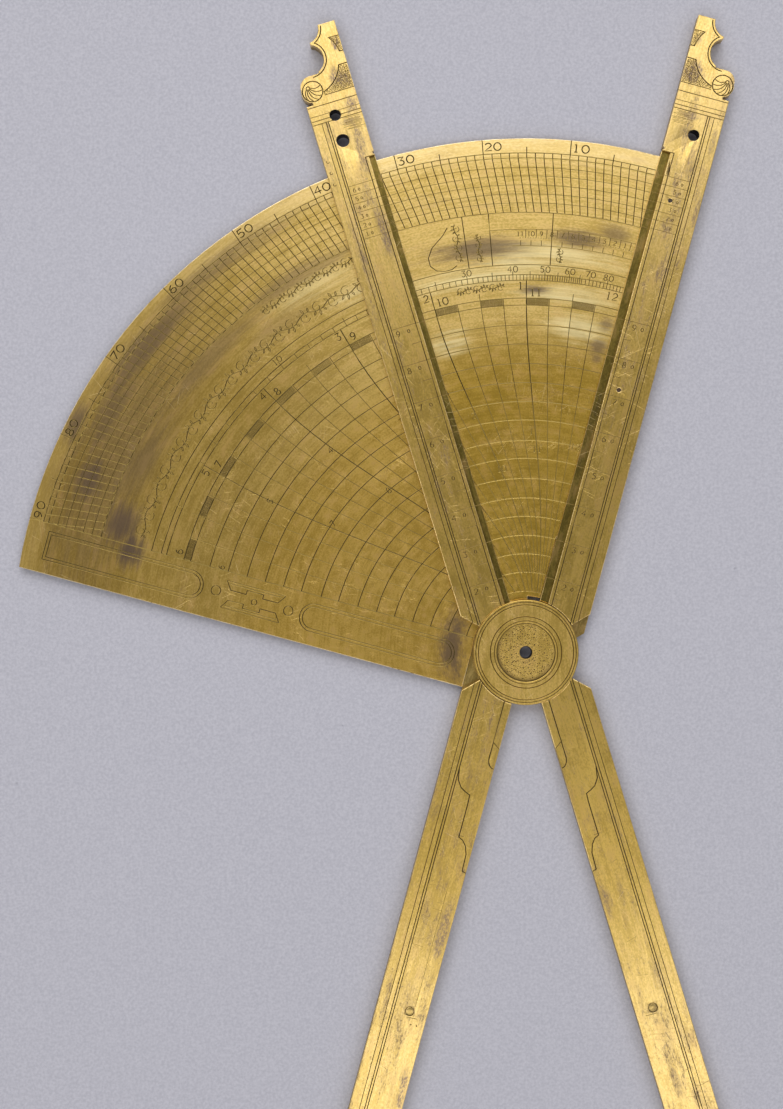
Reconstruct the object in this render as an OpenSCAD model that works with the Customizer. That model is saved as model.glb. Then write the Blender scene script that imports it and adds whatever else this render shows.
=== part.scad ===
// Dialling quadrant: a graduated brass plate gripped in the base bar of a
// crossed pair of bars. The index bar turns about a hollow pivot and its arm
// straddles the plate, so that its inner edge reads the arc.
// Origin on the pivot axis at the underside, +Z up, +Y midway between the arms.

/* [Quadrant plate] */
// Radius of the graduated arc
plate_r = 180.7; // [150:0.1:220]
// Thickness of the plate
plate_t = 1.3; // [1:0.1:2]
// Width of the strip beyond the 90 degree line
border_w = 17.7; // [12:0.1:17.8]
// Width of the strip gripped inside the base arm
seat_w = 13.2; // [10:0.1:14]
// Length of the base arm's solid root, measured from the pivot
root_len = 42; // [36:1:50]
// Angle of the slit beside the hinge, from the base line
slit_angle = 13; // [6:1:20]
// Width of the slit beside the hinge
slit_w = 1.2; // [0.6:0.1:2]

/* [Bars] */
// Width of each arm and leg
bar_w = 18.2; // [18:0.1:22]
// Thickness of the engraved front sheets
front_t = 2.5; // [2:0.1:4]
// Thickness of the back sheets
back_t = 1.6; // [1.2:0.1:3]
// Length of the solid block between the arc and the finial
block_len = 24.3; // [24:0.1:32]
// Length of the brass legs from the pivot
leg_len = 204; // [180:1:230]
// Radius of the hollow at the end of each leg
leg_hollow_r = 10.6; // [8:0.1:11]
// Overhang of the base bar's core past its mitred shoulder
lap_w = 6.5; // [4:0.1:7]

/* [Rebates] */
// Width of the stepped edge on the index arm
index_rebate_w = 2.3; // [1.5:0.1:3.5]
// Width of the stepped edge on the base arm
base_rebate_w = 3.1; // [1.5:0.1:3.5]
// Depth of the stepped edges
rebate_d = 1.4; // [0.6:0.1:1.6]
// Radius of the notch past each stepped edge
notch_r = 0.6; // [0.4:0.1:1]

/* [Finials] */
// Length of each finial
finial_len = 26.5; // [25:0.5:30]
// Radius of the volute
volute_r = 4; // [3.5:0.1:4.4]
// Radius of the arch cut in the outer side
arch_r = 5.4; // [4.5:0.1:5.6]
// Radius of the hollow beside the tip
tip_hollow_r = 5.3; // [4.5:0.1:5.6]
// Height of the arch's centre above the shoulder
arch_up = 15.7; // [15:0.1:16.5]
// Width from the inner edge to the cusp
cusp_w = 10.6; // [9.8:0.1:11]
// Width of the finial's end
end_w = 6.2; // [5:0.1:7]
// Height of the volute's lowest point above the shoulder
volute_up = 0.7; // [0.3:0.1:0.8]
// Distance by which the volute stands past the outer edge
volute_proud = 0.4; // [0:0.1:0.6]

/* [Hinge] */
// Radius of the hinge leaves and their cover
hub_r = 18.5; // [16:0.1:20]
// Thickness of the cover disc
cover_t = 1.6; // [1.4:0.1:2.2]
// Height of the cover above the bars
cover_rise = 0.4; // [0.2:0.1:0.8]
// Radius of the punched recess in the cover
recess_r = 10.2; // [8:0.1:11]
// Depth of the punched recess
recess_d = 0.8; // [0.4:0.1:0.9]
// Outer radius of the hollow pivot
pivot_r = 4.5; // [4:0.1:6]
// Radius of the pivot's head at the back
head_r = 6.5; // [6.2:0.1:9]
// Thickness of the pivot's head
head_t = 0.8; // [0.5:0.1:1]
// Radius of the bore through the pivot
bore_r = 2.1; // [1.5:0.1:3]

/* [Arm holes] */
// Radius of the lower hole in the index arm
index_hole_r = 2.3; // [1.5:0.1:2.6]
// Radius of the upper hole in the index arm
upper_hole_r = 2; // [1.5:0.1:2.4]
// Radius of the hole in the base arm
base_hole_r = 2; // [1.5:0.1:2.6]
// Distance of the holes from the inner edges
hole_in = 9.4; // [8:0.1:10.5]
// Distance of the lower holes below the finial's shoulder
hole_down = 14.8; // [13:0.1:15.5]
// Distance of the upper hole below the finial's shoulder
upper_hole_down = 5.5; // [5:0.1:6]

/* [Fixings] */
// Radius of the blind rivets
rivet_r = 1; // [0.8:0.1:1.2]
// Front metal left over each blind rivet
rivet_skin = 1; // [0.6:0.1:1.4]
// Radius of the two plate pins
pin_r = 0.75; // [0.5:0.05:1]
// Depth of the plate pins below the front face
pin_sunk = 0.4; // [0.1:0.1:0.8]
// Distance of the plate pins from the base arm's inner edge
pin_in = 7.4; // [6:0.1:9]
// Distance of the lower plate pin from the pivot
pin_low = 97.2; // [60:0.1:110]
// Distance of the upper plate pin below the arc
pin_down = 14.7; // [8:0.1:40]
// Radius of the round plug in each leg
plug_r = 1.75; // [1.2:0.05:2.2]
// Distance of the plugs from the pivot
plug_out = 132; // [110:0.5:150]
// Distance of the plugs from the inner edges
plug_in = 6.5; // [5:0.1:9]
// Distance of the outer block rivets from the outer edge
block_rivet_in = 4; // [3.4:0.1:5]
// Distance of the lower block rivets below the finial's shoulder
block_rivet_down = 18; // [17:0.5:20]
// Distance of the upper block rivets below the finial's shoulder
block_rivet_up = 4; // [3:0.1:4.5]
// Distance of the inner root rivet below the top of the base arm's root
root_rivet_low = 12; // [10:0.5:14]
// Distance of the outer root rivet below the top of the base arm's root
root_rivet_high = 4; // [3:0.5:6]
// Distance of the first leg rivet past the hinge
leg_rivet_low = 16; // [12:1:24]
// Distance of the second leg rivet past the hinge
leg_rivet_mid = 62; // [50:1:80]
// Distance of the third leg rivet past the plug
leg_rivet_high = 24; // [18:1:30]

/* [Points] */
// Length of each steel point past the leg
point_len = 28; // [18:1:40]
// Width of each point at the leg
point_w = 7; // [5:0.1:7.4]
// Thickness of each point at the leg
point_t = 3.4; // [2.4:0.1:3.8]
// Width and thickness of each point at its tip
tip_w = 0.6; // [0.4:0.1:1]
// Length of the tang inside the leg
tang_len = 24; // [18:1:30]
// Width of the tang
tang_w = 5; // [4:0.1:6]
// Distance of the tang from the leg's inner edge
tang_in = 1.1; // [0.8:0.1:2]

/* [Fits] */
// Running gap between the hinge leaves
leaf_gap = 0.05; // [0.03:0.01:0.1]
// Distance of each inner edge from the line through the pivot
edge_gap = 0.1; // [0.05:0.05:0.2]
// Gap between the mitred shoulders and the diagonal
mitre_gap = 0.5; // [0.3:0.1:1]
// Gap round the leaves and the cover
hub_gap = 0.25; // [0.15:0.05:0.5]
// Gap between the arc and the index arm's block
slot_gap = 0.8; // [0.4:0.1:1.5]
// Gap round the plate in the base bar
plate_fit = 0.1; // [0.05:0.05:0.2]
// Radial gap of the rivets, pins, plugs and pivot
pin_fit = 0.02; // [0.01:0.01:0.05]

/* [Pose] */
// Opening between the arms at rest
opening = 32; // [10:1:80]

/* [Hidden] */
$fn = 96;

brass = [0.76, 0.60, 0.27];
bright_brass = [0.87, 0.72, 0.37];
olive_brass = [0.70, 0.56, 0.25];
dark_steel = [0.16, 0.15, 0.15];
point_steel = [0.46, 0.46, 0.47];

// Levels above the underside
mid_z = back_t;
front_z = mid_z + plate_t;
top_z = front_z + front_t;
cover_z = top_z + cover_rise - cover_t;
rivet_top = top_z - rivet_skin;

// Places along the bars, in the bar's own frame
shoulder_y = plate_r + block_len;
rebate_end = plate_r + 2 * slot_gap;
notch_past = 0.86;
notch_y = rebate_end + notch_past;
hole_y = shoulder_y - hole_down;
pin_high = plate_r - pin_down;
upper_hole_y = shoulder_y - upper_hole_down;

// Parts of the finial, measured from its shoulder and from the outer edge
volute_pos = [bar_w + volute_proud - volute_r, volute_r + volute_up];
lip_shift = [-0.2, 1.5];
lip_pos = volute_pos + lip_shift;
arch_pos = [bar_w - arch_r, arch_up];
tip_hollow_pos = [end_w + tip_hollow_r, finial_len];
foot_in = 2.4;
foot_w = bar_w - foot_in;

// Rows of rivets
rail_x = (seat_w + bar_w) / 2;
rail_rows = 4;
rail_end_in = 14;
rail_step = (plate_r - rail_end_in - root_len) / rail_rows;
quarter_x = bar_w / 4;
middle_x = bar_w / 2;
outer_x = bar_w - block_rivet_in;
root_rivets = [
    [quarter_x, root_len - root_rivet_low],
    [middle_x, root_len - root_rivet_high]
];
leg_rivet_ys = [hub_r + leg_rivet_low, hub_r + leg_rivet_mid, plug_out + leg_rivet_high];
tang_x = edge_gap + tang_in;
tang_rivet = [tang_x + tang_w / 2, leg_len - tang_len / 2];
block_rivets = [
    [quarter_x, shoulder_y - block_rivet_down],
    [outer_x, shoulder_y - block_rivet_down],
    [quarter_x, shoulder_y - block_rivet_up],
    [outer_x, shoulder_y - block_rivet_up]
];
rail_rivets = [for (i = [1:rail_rows]) [rail_x, root_len + i * rail_step]];
arm_rivets = concat(root_rivets, rail_rivets);
leg_rivets = concat([for (y = leg_rivet_ys) [middle_x, y]], [tang_rivet]);

// A length past every edge, for cuts
past = 400;
cut = 1;

// Outlines. Each bar is drawn with its arm towards +Y on the +X side of the
// line through the pivot. A leg is drawn the same way and turned half round.

module finial_2d() {
    difference() {
        union() {
            translate([edge_gap, 0])
                square([cusp_w - edge_gap, finial_len]);
            translate([edge_gap, 0])
                square([foot_w - edge_gap, volute_pos[1]]);
            translate([edge_gap, 0])
                square([lip_pos[0] - edge_gap, lip_pos[1] + volute_r]);
            translate(volute_pos)
                circle(r = volute_r);
            translate(lip_pos)
                circle(r = volute_r);
        }
        translate(arch_pos)
            circle(r = arch_r);
        translate(tip_hollow_pos)
            circle(r = tip_hollow_r);
    }
}

module arm_2d() {
    difference() {
        union() {
            translate([edge_gap, 0])
                square([bar_w - edge_gap, shoulder_y]);
            translate([0, shoulder_y])
                finial_2d();
        }
        translate([edge_gap, notch_y])
            circle(r = notch_r);
    }
}

module leg_2d() {
    difference() {
        translate([edge_gap, 0])
            square([bar_w - edge_gap, leg_len]);
        translate([bar_w, leg_len])
            circle(r = leg_hollow_r);
    }
}

// Everything beyond the 45 degree shoulder that lies a given step up the bar
module past_mitre_2d(step) {
    polygon([[0, step], [past, past + step], [0, past + step]]);
}

// The plate's outline: its arc and its two straight sides, cut back round the
// hinge, the base leg and the base arm's root. The pocket round it is the same
// shape, grown by c.
module plate_2d(c = 0) {
    difference() {
        intersection() {
            circle(r = plate_r + c, $fn = 360);
            translate([-past, -border_w - c])
                square([past + seat_w + c, 2 * past]);
        }
        circle(r = hub_r + plate_fit - c);
        translate([-bar_w - plate_fit + c, -past])
            square([2 * past, past]);
        translate([edge_gap - plate_fit + c, -past])
            square([2 * past, past + root_len + plate_fit - c]);
    }
}

// The open slit between the plate and the hinge, beside the base arm
module slit_2d() {
    reach = 2 * hub_r;
    intersection() {
        circle(r = hub_r + slit_w);
        polygon([
            [0, 0],
            [0, reach],
            [-reach * tan(slit_angle), reach]
        ]);
    }
}

module block_2d(gap) {
    difference() {
        arm_2d();
        circle(r = plate_r + gap, $fn = 360);
    }
}

module base_core_2d() {
    difference() {
        union() {
            circle(r = hub_r);
            intersection() {
                arm_2d();
                past_mitre_2d(-lap_w);
            }
            rotate(180)
                leg_2d();
        }
        plate_2d(c = plate_fit);
    }
}

// Shared solids

module sheet(z0, z1) {
    translate([0, 0, z0])
        linear_extrude(z1 - z0)
            children();
}

module rivet_set(places, r, z1) {
    for (p = places)
        translate([p[0], p[1], 0])
            cylinder(r = r, h = z1);
}

module rivet_holes(places) {
    translate([0, 0, -cut])
        rivet_set(places, rivet_r + pin_fit, rivet_top + pin_fit + cut);
}

module through_hole(x, y, r) {
    translate([x, y, -cut])
        cylinder(r = r, h = top_z + 2 * cut);
}

module rebate(w) {
    translate([-cut, 0, top_z - rebate_d])
        cube([w + cut, rebate_end, rebate_d + cut]);
}

module leg_holes() {
    rivet_holes(leg_rivets);
    through_hole(plug_in, plug_out, plug_r + pin_fit);
}

module tang_slot() {
    translate([tang_x - pin_fit, leg_len - tang_len - pin_fit, -cut])
        cube([tang_w + 2 * pin_fit, tang_len + cut, top_z + 2 * cut]);
}

// A steel point: a flat tang and a blade that tapers in width and thickness
module point() {
    z_mid = mid_z + plate_t / 2;
    tip_y = leg_len + point_len;
    difference() {
        union() {
            translate([tang_x, leg_len - tang_len, mid_z])
                cube([tang_w, tang_len + cut, plate_t]);
            intersection() {
                linear_extrude(top_z)
                    polygon([
                        [edge_gap, leg_len],
                        [edge_gap, tip_y],
                        [edge_gap + tip_w, tip_y],
                        [point_w, leg_len + cut],
                        [point_w, leg_len]
                    ]);
                rotate([90, 0, 90])
                    linear_extrude(bar_w)
                        polygon([
                            [leg_len, z_mid - point_t / 2],
                            [tip_y, z_mid - tip_w / 2],
                            [tip_y, z_mid + tip_w / 2],
                            [leg_len, z_mid + point_t / 2]
                        ]);
            }
        }
        rivet_holes([tang_rivet]);
    }
}

// The base bar turns clockwise from +Y by half the opening
module base_frame() {
    rotate(-opening / 2)
        children();
}

// The index bar is the base bar's mirror image, turned the other way
module index_frame() {
    rotate(opening / 2)
        mirror([1, 0, 0])
            children();
}

// Pieces of the base bar

module base_core() {
    color(brass)
        base_frame()
            difference() {
                sheet(mid_z, front_z)
                    base_core_2d();
                through_hole(0, 0, pivot_r + leaf_gap);
                through_hole(hole_in, hole_y, base_hole_r);
                rivet_holes(concat(block_rivets, arm_rivets));
                rotate(180) {
                    leg_holes();
                    tang_slot();
                }
            }
}

module base_arm_sheet(z0, z1) {
    difference() {
        sheet(z0, z1)
            difference() {
                intersection() {
                    arm_2d();
                    past_mitre_2d(mitre_gap);
                }
                circle(r = hub_r + hub_gap);
            }
        through_hole(hole_in, hole_y, base_hole_r);
        through_hole(pin_in, pin_low, pin_r + pin_fit);
        through_hole(pin_in, pin_high, pin_r + pin_fit);
        rivet_holes(concat(block_rivets, arm_rivets));
    }
}

module base_arm_front() {
    color(bright_brass)
        base_frame()
            difference() {
                base_arm_sheet(front_z, top_z);
                rebate(base_rebate_w);
            }
}

module base_arm_back() {
    color(brass)
        base_frame()
            base_arm_sheet(0, mid_z);
}

module base_leg_sheet(z0, z1) {
    rotate(180)
        difference() {
            sheet(z0, z1)
                difference() {
                    intersection() {
                        leg_2d();
                        past_mitre_2d(mitre_gap);
                    }
                    circle(r = hub_r + hub_gap);
                }
            leg_holes();
        }
}

module base_leg_front() {
    color(bright_brass)
        base_frame()
            base_leg_sheet(front_z, top_z);
}

module base_leg_back() {
    color(brass)
        base_frame()
            base_leg_sheet(0, mid_z);
}

module quadrant_plate() {
    color(olive_brass)
        base_frame()
            difference() {
                sheet(mid_z, front_z)
                    difference() {
                        plate_2d();
                        slit_2d();
                    }
                through_hole(pin_in, pin_low, pin_r + pin_fit);
                through_hole(pin_in, pin_high, pin_r + pin_fit);
            }
}

module plate_pins() {
    color(dark_steel)
        base_frame()
            rivet_set([[pin_in, pin_low], [pin_in, pin_high]], pin_r, top_z - pin_sunk);
}

module base_arm_rivets() {
    color(brass)
        base_frame()
            rivet_set(arm_rivets, rivet_r, rivet_top);
}

module base_block_rivets() {
    color(brass)
        base_frame()
            rivet_set(block_rivets, rivet_r, rivet_top);
}

module base_leg_rivets() {
    color(brass)
        base_frame()
            rotate(180)
                rivet_set(leg_rivets, rivet_r, rivet_top);
}

module base_leg_plug() {
    color(bright_brass)
        base_frame()
            rotate(180)
                rivet_set([[plug_in, plug_out]], plug_r, top_z);
}

module base_point() {
    color(point_steel)
        base_frame()
            rotate(180)
                point();
}

// Pieces of the index bar

// The whole bar in one sheet: arm, hinge leaf and leg
module index_sheet(z0, z1) {
    difference() {
        sheet(z0, z1)
            union() {
                circle(r = hub_r);
                intersection() {
                    arm_2d();
                    past_mitre_2d(mitre_gap);
                }
                rotate(180)
                    intersection() {
                        leg_2d();
                        past_mitre_2d(mitre_gap);
                    }
            }
        through_hole(0, 0, pivot_r + pin_fit);
        through_hole(hole_in, hole_y, index_hole_r);
        through_hole(hole_in, upper_hole_y, upper_hole_r);
        rivet_holes(block_rivets);
        rotate(180)
            leg_holes();
    }
}

module index_front() {
    color(bright_brass)
        index_frame()
            difference() {
                index_sheet(front_z + leaf_gap, top_z);
                rebate(index_rebate_w);
                translate([0, 0, cover_z])
                    cylinder(r = hub_r, h = top_z);
            }
}

module index_back() {
    color(brass)
        index_frame()
            difference() {
                index_sheet(0, mid_z - leaf_gap);
                translate([0, 0, -cut])
                    cylinder(r = head_r + pin_fit, h = head_t + pin_fit + cut);
            }
}

module index_block_core() {
    color(brass)
        index_frame()
            difference() {
                sheet(mid_z - leaf_gap, front_z + leaf_gap)
                    block_2d(slot_gap);
                through_hole(hole_in, hole_y, index_hole_r);
                through_hole(hole_in, upper_hole_y, upper_hole_r);
                rivet_holes(block_rivets);
            }
}

module index_leg_core() {
    color(brass)
        index_frame()
            rotate(180)
                difference() {
                    sheet(mid_z - leaf_gap, front_z + leaf_gap)
                        difference() {
                            intersection() {
                                leg_2d();
                                past_mitre_2d(lap_w + mitre_gap);
                            }
                            circle(r = hub_r + hub_gap);
                        }
                    leg_holes();
                    tang_slot();
                }
}

module index_block_rivets() {
    color(brass)
        index_frame()
            rivet_set(block_rivets, rivet_r, rivet_top);
}

module index_leg_rivets() {
    color(brass)
        index_frame()
            rotate(180)
                rivet_set(leg_rivets, rivet_r, rivet_top);
}

module index_leg_plug() {
    color(bright_brass)
        index_frame()
            rotate(180)
                rivet_set([[plug_in, plug_out]], plug_r, top_z);
}

module index_point() {
    color(point_steel)
        index_frame()
            rotate(180)
                point();
}

module pivot_tube() {
    color(brass)
        difference() {
            union() {
                cylinder(r = pivot_r, h = cover_z);
                cylinder(r = head_r, h = head_t);
            }
            through_hole(0, 0, bore_r);
        }
}

// Turned disc with a chamfered rim, a narrow step and a punched recess
module hinge_cover() {
    rim_r = hub_r - leaf_gap;
    chamfer = 0.3;
    step_w = 0.8;
    step_d = recess_d / 2;
    cover_top = cover_z + cover_t;
    color(bright_brass)
        rotate_extrude()
            polygon([
                [bore_r, cover_z],
                [rim_r, cover_z],
                [rim_r, cover_top - chamfer],
                [rim_r - chamfer, cover_top],
                [recess_r + step_w, cover_top],
                [recess_r + step_w, cover_top - step_d],
                [recess_r, cover_top - step_d],
                [recess_r, cover_top - recess_d],
                [bore_r, cover_top - recess_d]
            ]);
}

base_core();
base_arm_front();
base_arm_back();
base_leg_front();
base_leg_back();
quadrant_plate();
plate_pins();
base_arm_rivets();
base_block_rivets();
base_leg_rivets();
base_leg_plug();
base_point();
index_front();
index_back();
index_block_core();
index_leg_core();
index_block_rivets();
index_leg_rivets();
index_leg_plug();
index_point();
pivot_tube();
hinge_cover();
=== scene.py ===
import math

import bpy
import numpy as np
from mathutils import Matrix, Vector
from mathutils.geometry import delaunay_2d_cdt


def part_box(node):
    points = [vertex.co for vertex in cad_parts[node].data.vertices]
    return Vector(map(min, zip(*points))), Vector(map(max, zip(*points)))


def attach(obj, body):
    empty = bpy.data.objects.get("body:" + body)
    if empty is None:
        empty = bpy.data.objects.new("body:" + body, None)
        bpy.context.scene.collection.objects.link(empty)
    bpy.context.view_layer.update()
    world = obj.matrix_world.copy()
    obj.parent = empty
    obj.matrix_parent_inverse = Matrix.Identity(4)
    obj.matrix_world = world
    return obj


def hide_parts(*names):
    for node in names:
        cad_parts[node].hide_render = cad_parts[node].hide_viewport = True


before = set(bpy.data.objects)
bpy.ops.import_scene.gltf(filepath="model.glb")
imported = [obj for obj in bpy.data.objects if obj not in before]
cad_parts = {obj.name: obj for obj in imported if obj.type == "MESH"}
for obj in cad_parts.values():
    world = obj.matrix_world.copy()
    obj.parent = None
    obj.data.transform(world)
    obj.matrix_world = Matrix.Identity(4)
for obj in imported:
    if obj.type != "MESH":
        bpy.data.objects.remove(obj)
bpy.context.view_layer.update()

# The quadrant plate
# A quarter circle of sheet brass, 1.3 mm thick and 180.7 mm in radius. Every line and
# figure is a V cut by hand with a graver, so each is cut into this plate's mesh too.
# Its right edge is gripped in the base bar and held there by two small pins.

PHOTO_MM = 180 / 512.5  # millimetres for each pixel of the photograph
BASE_TURN = math.radians(-16)
# Widths of the graver's cuts in mm, their depth for each mm of half width, and the share of
# the dirt that is wiped out of a cut that runs along x
FINE_CUT, PLAIN_CUT, BOLD_CUT = 0.24, 0.33, 0.38
CUT_SLOPE = 0.62
WIPED = 0.75
# Width and drop in mm that the file takes off each edge
FILED_EDGE = 0.21
FILED_DROP = 0.09


def bow(x, y, rx, ry, start, stop, n=9):
    """Points of an ellipse's arc: the centre plus each radius times the cosine or sine of the angle."""
    a = np.radians(np.linspace(start, stop, n))
    return np.stack([x + rx * np.cos(a), y + ry * np.sin(a)], 1)


def line(*points):
    """The straight strokes through these points."""
    return np.array(points, float)


def joined(*parts):
    """Several strokes as one, end to end."""
    return np.concatenate(parts)


# Old-style numerals in a box one high, drawn as the graver cuts them
NUMERALS = {
    "0": [bow(0, 0, 0.36, 0.5, 0, 360, 15)],
    "1": [line((0, -0.5), (0, 0.5)), line((-0.16, -0.5), (0.16, -0.5)), line((-0.16, 0.4), (0, 0.5))],
    "2": [joined(bow(0.02, 0.22, 0.29, 0.28, 165, -35, 8), line((-0.34, -0.48), (0.36, -0.42)))],
    "3": [joined(line((-0.28, 0.5), (0.28, 0.5), (-0.04, 0.1)), bow(-0.02, -0.2, 0.3, 0.3, 80, -150, 8))],
    "4": [line((0.14, -0.5), (0.14, 0.5), (-0.36, -0.16), (0.36, -0.16))],
    "5": [joined(line((0.32, 0.5), (-0.2, 0.5), (-0.26, 0.06)), bow(-0.02, -0.18, 0.31, 0.32, 125, -145, 8))],
    "6": [bow(0.32, -0.16, 0.6, 0.68, 105, 178, 5), bow(0.02, -0.2, 0.3, 0.3, 0, 360, 11)],
    "7": [line((-0.3, 0.46), (0.34, 0.5), (-0.1, -0.5))],
    "8": [bow(0, 0.25, 0.24, 0.25, 0, 360, 11), bow(0, -0.25, 0.3, 0.25, 0, 360, 11)],
    "9": [bow(-0.32, 0.16, 0.6, 0.68, -75, -2, 5), bow(-0.02, 0.2, 0.3, 0.3, 0, 360, 11)],
}


def numerals(text, centre, height, right=(1, 0), pitch=0.86, width=FINE_CUT, wide=1.0):
    """Cuts of a number: each numeral's box scaled to the height and set side by side along right."""
    right = np.asarray(right, float) / np.hypot(*right)
    up = np.array([-right[1], right[0]])
    cuts = []
    for i, c in enumerate(text):
        shift = (i - (len(text) - 1) / 2) * pitch
        for s in NUMERALS[c]:
            drawn = (s[:, :1] * wide + shift) * right + s[:, 1:] * up
            cuts.append((np.asarray(centre) + height * drawn, width))
    return cuts


def spot(radius, degree):
    """The place at a radius about the pivot and an angle from the 0 line: radius times (-sine, cosine)."""
    radius, a = np.asarray(radius, float), np.radians(degree)
    return np.stack([-radius * np.sin(a), radius * np.cos(a)], -1)


def seen(radius, degree):
    """The same place, with the radius in pixels of the photograph."""
    return spot(np.asarray(radius, float) * PHOTO_MM, degree)


def ring(radius, start=0, stop=90, step=1.5):
    """Points along a circle about the pivot."""
    return spot(radius, np.linspace(start, stop, max(2, math.ceil(abs(stop - start) / step) + 1)))


def on_arc(text, radius, degree, height, reads=None, **style):
    """Cuts of a number that stands on an arc, with its base line along (cosine, sine) of its angle."""
    a = math.radians(degree if reads is None else reads)
    return numerals(text, seen(radius, degree), height, (math.cos(a), math.sin(a)), **style)


plate_cuts = []

# The degree scale, 0 to 90, and the slanted lines under it that divide each degree in six
DEGREE_IN, DEGREE_OUT, DEGREE_FOOT = 495 * PHOTO_MM, 500 * PHOTO_MM, 440.5 * PHOTO_MM
FIVES_TOP, TENS_TOP = 506 * PHOTO_MM, 181.5
SIXTHS_PX, DEGREE_FIGURES_PX = (485.5, 477, 468, 459, 450), 507
plate_cuts += [(ring(r), PLAIN_CUT) for r in (DEGREE_IN, DEGREE_OUT, DEGREE_FOOT)]
plate_cuts += [(ring(r * PHOTO_MM), FINE_CUT) for r in SIXTHS_PX]
for n in range(1, 91):
    top = TENS_TOP if n % 10 == 0 else FIVES_TOP if n % 5 == 0 else DEGREE_OUT
    plate_cuts.append((spot([DEGREE_IN, top], n), PLAIN_CUT))
    plate_cuts.append((spot([DEGREE_IN, DEGREE_FOOT], [n, n - 1]), PLAIN_CUT))
for n in range(10, 100, 10):
    plate_cuts += on_arc(str(n), DEGREE_FIGURES_PX, n - 1.15, 2.75, pitch=1.2, width=0.44, wide=1.3)

# The band between the scales, parted by three lines, with a small scale and its figures by the base arm
BAND_FOOT, BAND_PARTS = 388 * PHOTO_MM, (11.5, 20, 23.5)
SMALL_OUT_PX, SMALL_FIGURES_PX, SMALL_DASHED_PX, SMALL_TICK_PX, SMALL_IN_PX = 423.5, 419, 415, 412.5, 407
for n in BAND_PARTS:
    plate_cuts.append((spot([DEGREE_FOOT, BAND_FOOT], n), PLAIN_CUT))
plate_cuts.append((ring(SMALL_OUT_PX * PHOTO_MM, 0, 20), FINE_CUT))
plate_cuts.append((ring(SMALL_IN_PX * PHOTO_MM, 0, 17), FINE_CUT))
for i, n in enumerate(np.arange(0.6, 16, 1.45)):
    plate_cuts.append((seen([SMALL_OUT_PX, SMALL_DASHED_PX], n), FINE_CUT))
    plate_cuts.append((seen([SMALL_TICK_PX, SMALL_IN_PX], n + 0.72), FINE_CUT))
    plate_cuts += on_arc(str(1 + i), SMALL_FIGURES_PX, n + 0.75, 1.6, n, width=0.26)
for n in np.arange(0.3, 15.8, 0.36):
    plate_cuts.append((ring(SMALL_DASHED_PX * PHOTO_MM, n, n + 0.16), FINE_CUT))


def vine(place, length, rise, wave):
    """Cuts of a running scroll. Its stem waves as a sine. In each half wave a tendril leaves the stem, turns
    under its crest and winds up as a spiral whose radius shrinks evenly, and three leaves stand on the crest,
    each two bows that meet in a point. The place function turns distances along and across into a place."""
    halves = max(2, round(2 * length / wave))
    pitch = length / halves
    t = np.linspace(0, halves * math.pi, halves * 6 + 1)
    cuts = [(place(length * t / t[-1], 0.5 * rise * np.sin(t)), PLAIN_CUT)]
    u = np.linspace(0, 1, 13)
    bow_out = 0.16 * np.sin(math.pi * np.linspace(0, 1, 5))[:, None]
    for k in range(halves):
        sign = 1 if k % 2 == 0 else -1
        turn = sign * math.pi * (-0.8 + 2.0 * u)
        reach = 0.36 * pitch * (1 - 0.68 * u)
        along = pitch * (k + 0.56) + reach * np.cos(turn)
        cuts.append((place(along, reach * np.sin(turn) - 0.28 * sign * rise), FINE_CUT))
        for at, lean, size in ((0.22, 1.9, 0.30), (0.48, 1.3, 0.36), (0.76, 0.8, 0.30)):
            root = np.array([pitch * (k + at), 0.5 * rise * math.sin(math.pi * at)])
            ahead = size * pitch * np.array([math.cos(lean), math.sin(lean)])
            for side in (1, -1):
                leaf = root + np.linspace(0, 1, 5)[:, None] * ahead + side * bow_out * [-ahead[1], ahead[0]]
                cuts.append((place(leaf[:, 0], sign * leaf[:, 1]), FINE_CUT))
    return cuts


def along_arc(radius, start):
    """Places along an arc: the distance along is an angle times the radius, and across is outwards."""
    return lambda along, across: spot(radius + across, start + np.degrees(along / radius))


def along_radius(radius, degree):
    """Places inwards along a radius, with the distance across turned into an angle."""
    return lambda along, across: spot(radius - along, degree + np.degrees(across / (radius - along)))


# Scrolls along arcs: radius in pixels, first and last angle, rise and wave. Scrolls inwards along radii:
# radius in pixels, angle, length in pixels, rise and wave.
ARC_VINES = ((402.5, 33.5, 88.6, 1.7, 11.5), (430, 38, 53, 1.1, 7.5), (366.5, 18.4, 26, 0.9, 6.2))
RADIUS_VINES = ((434, 24.6, 38, 1.0, 6.6), (421, 21.7, 28, 0.8, 5.0), (406, 10.2, 15, 0.7, 5.0))
for r, first, last, rise, wave in ARC_VINES:
    r = r * PHOTO_MM
    plate_cuts += vine(along_arc(r, first), math.radians(last - first) * r, rise, wave)
for r, degree, length, rise, wave in RADIUS_VINES:
    plate_cuts += vine(along_radius(r * PHOTO_MM, degree), length * PHOTO_MM, rise, wave)
CURL = line((432, 25.6), (425, 26.4), (415, 28.2), (406, 29), (398, 29), (392, 28.3), (389.5, 27.2),
            (390, 26), (393, 25.2))
plate_cuts.append((seen(CURL[:, 0], CURL[:, 1]), PLAIN_CUT))

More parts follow.
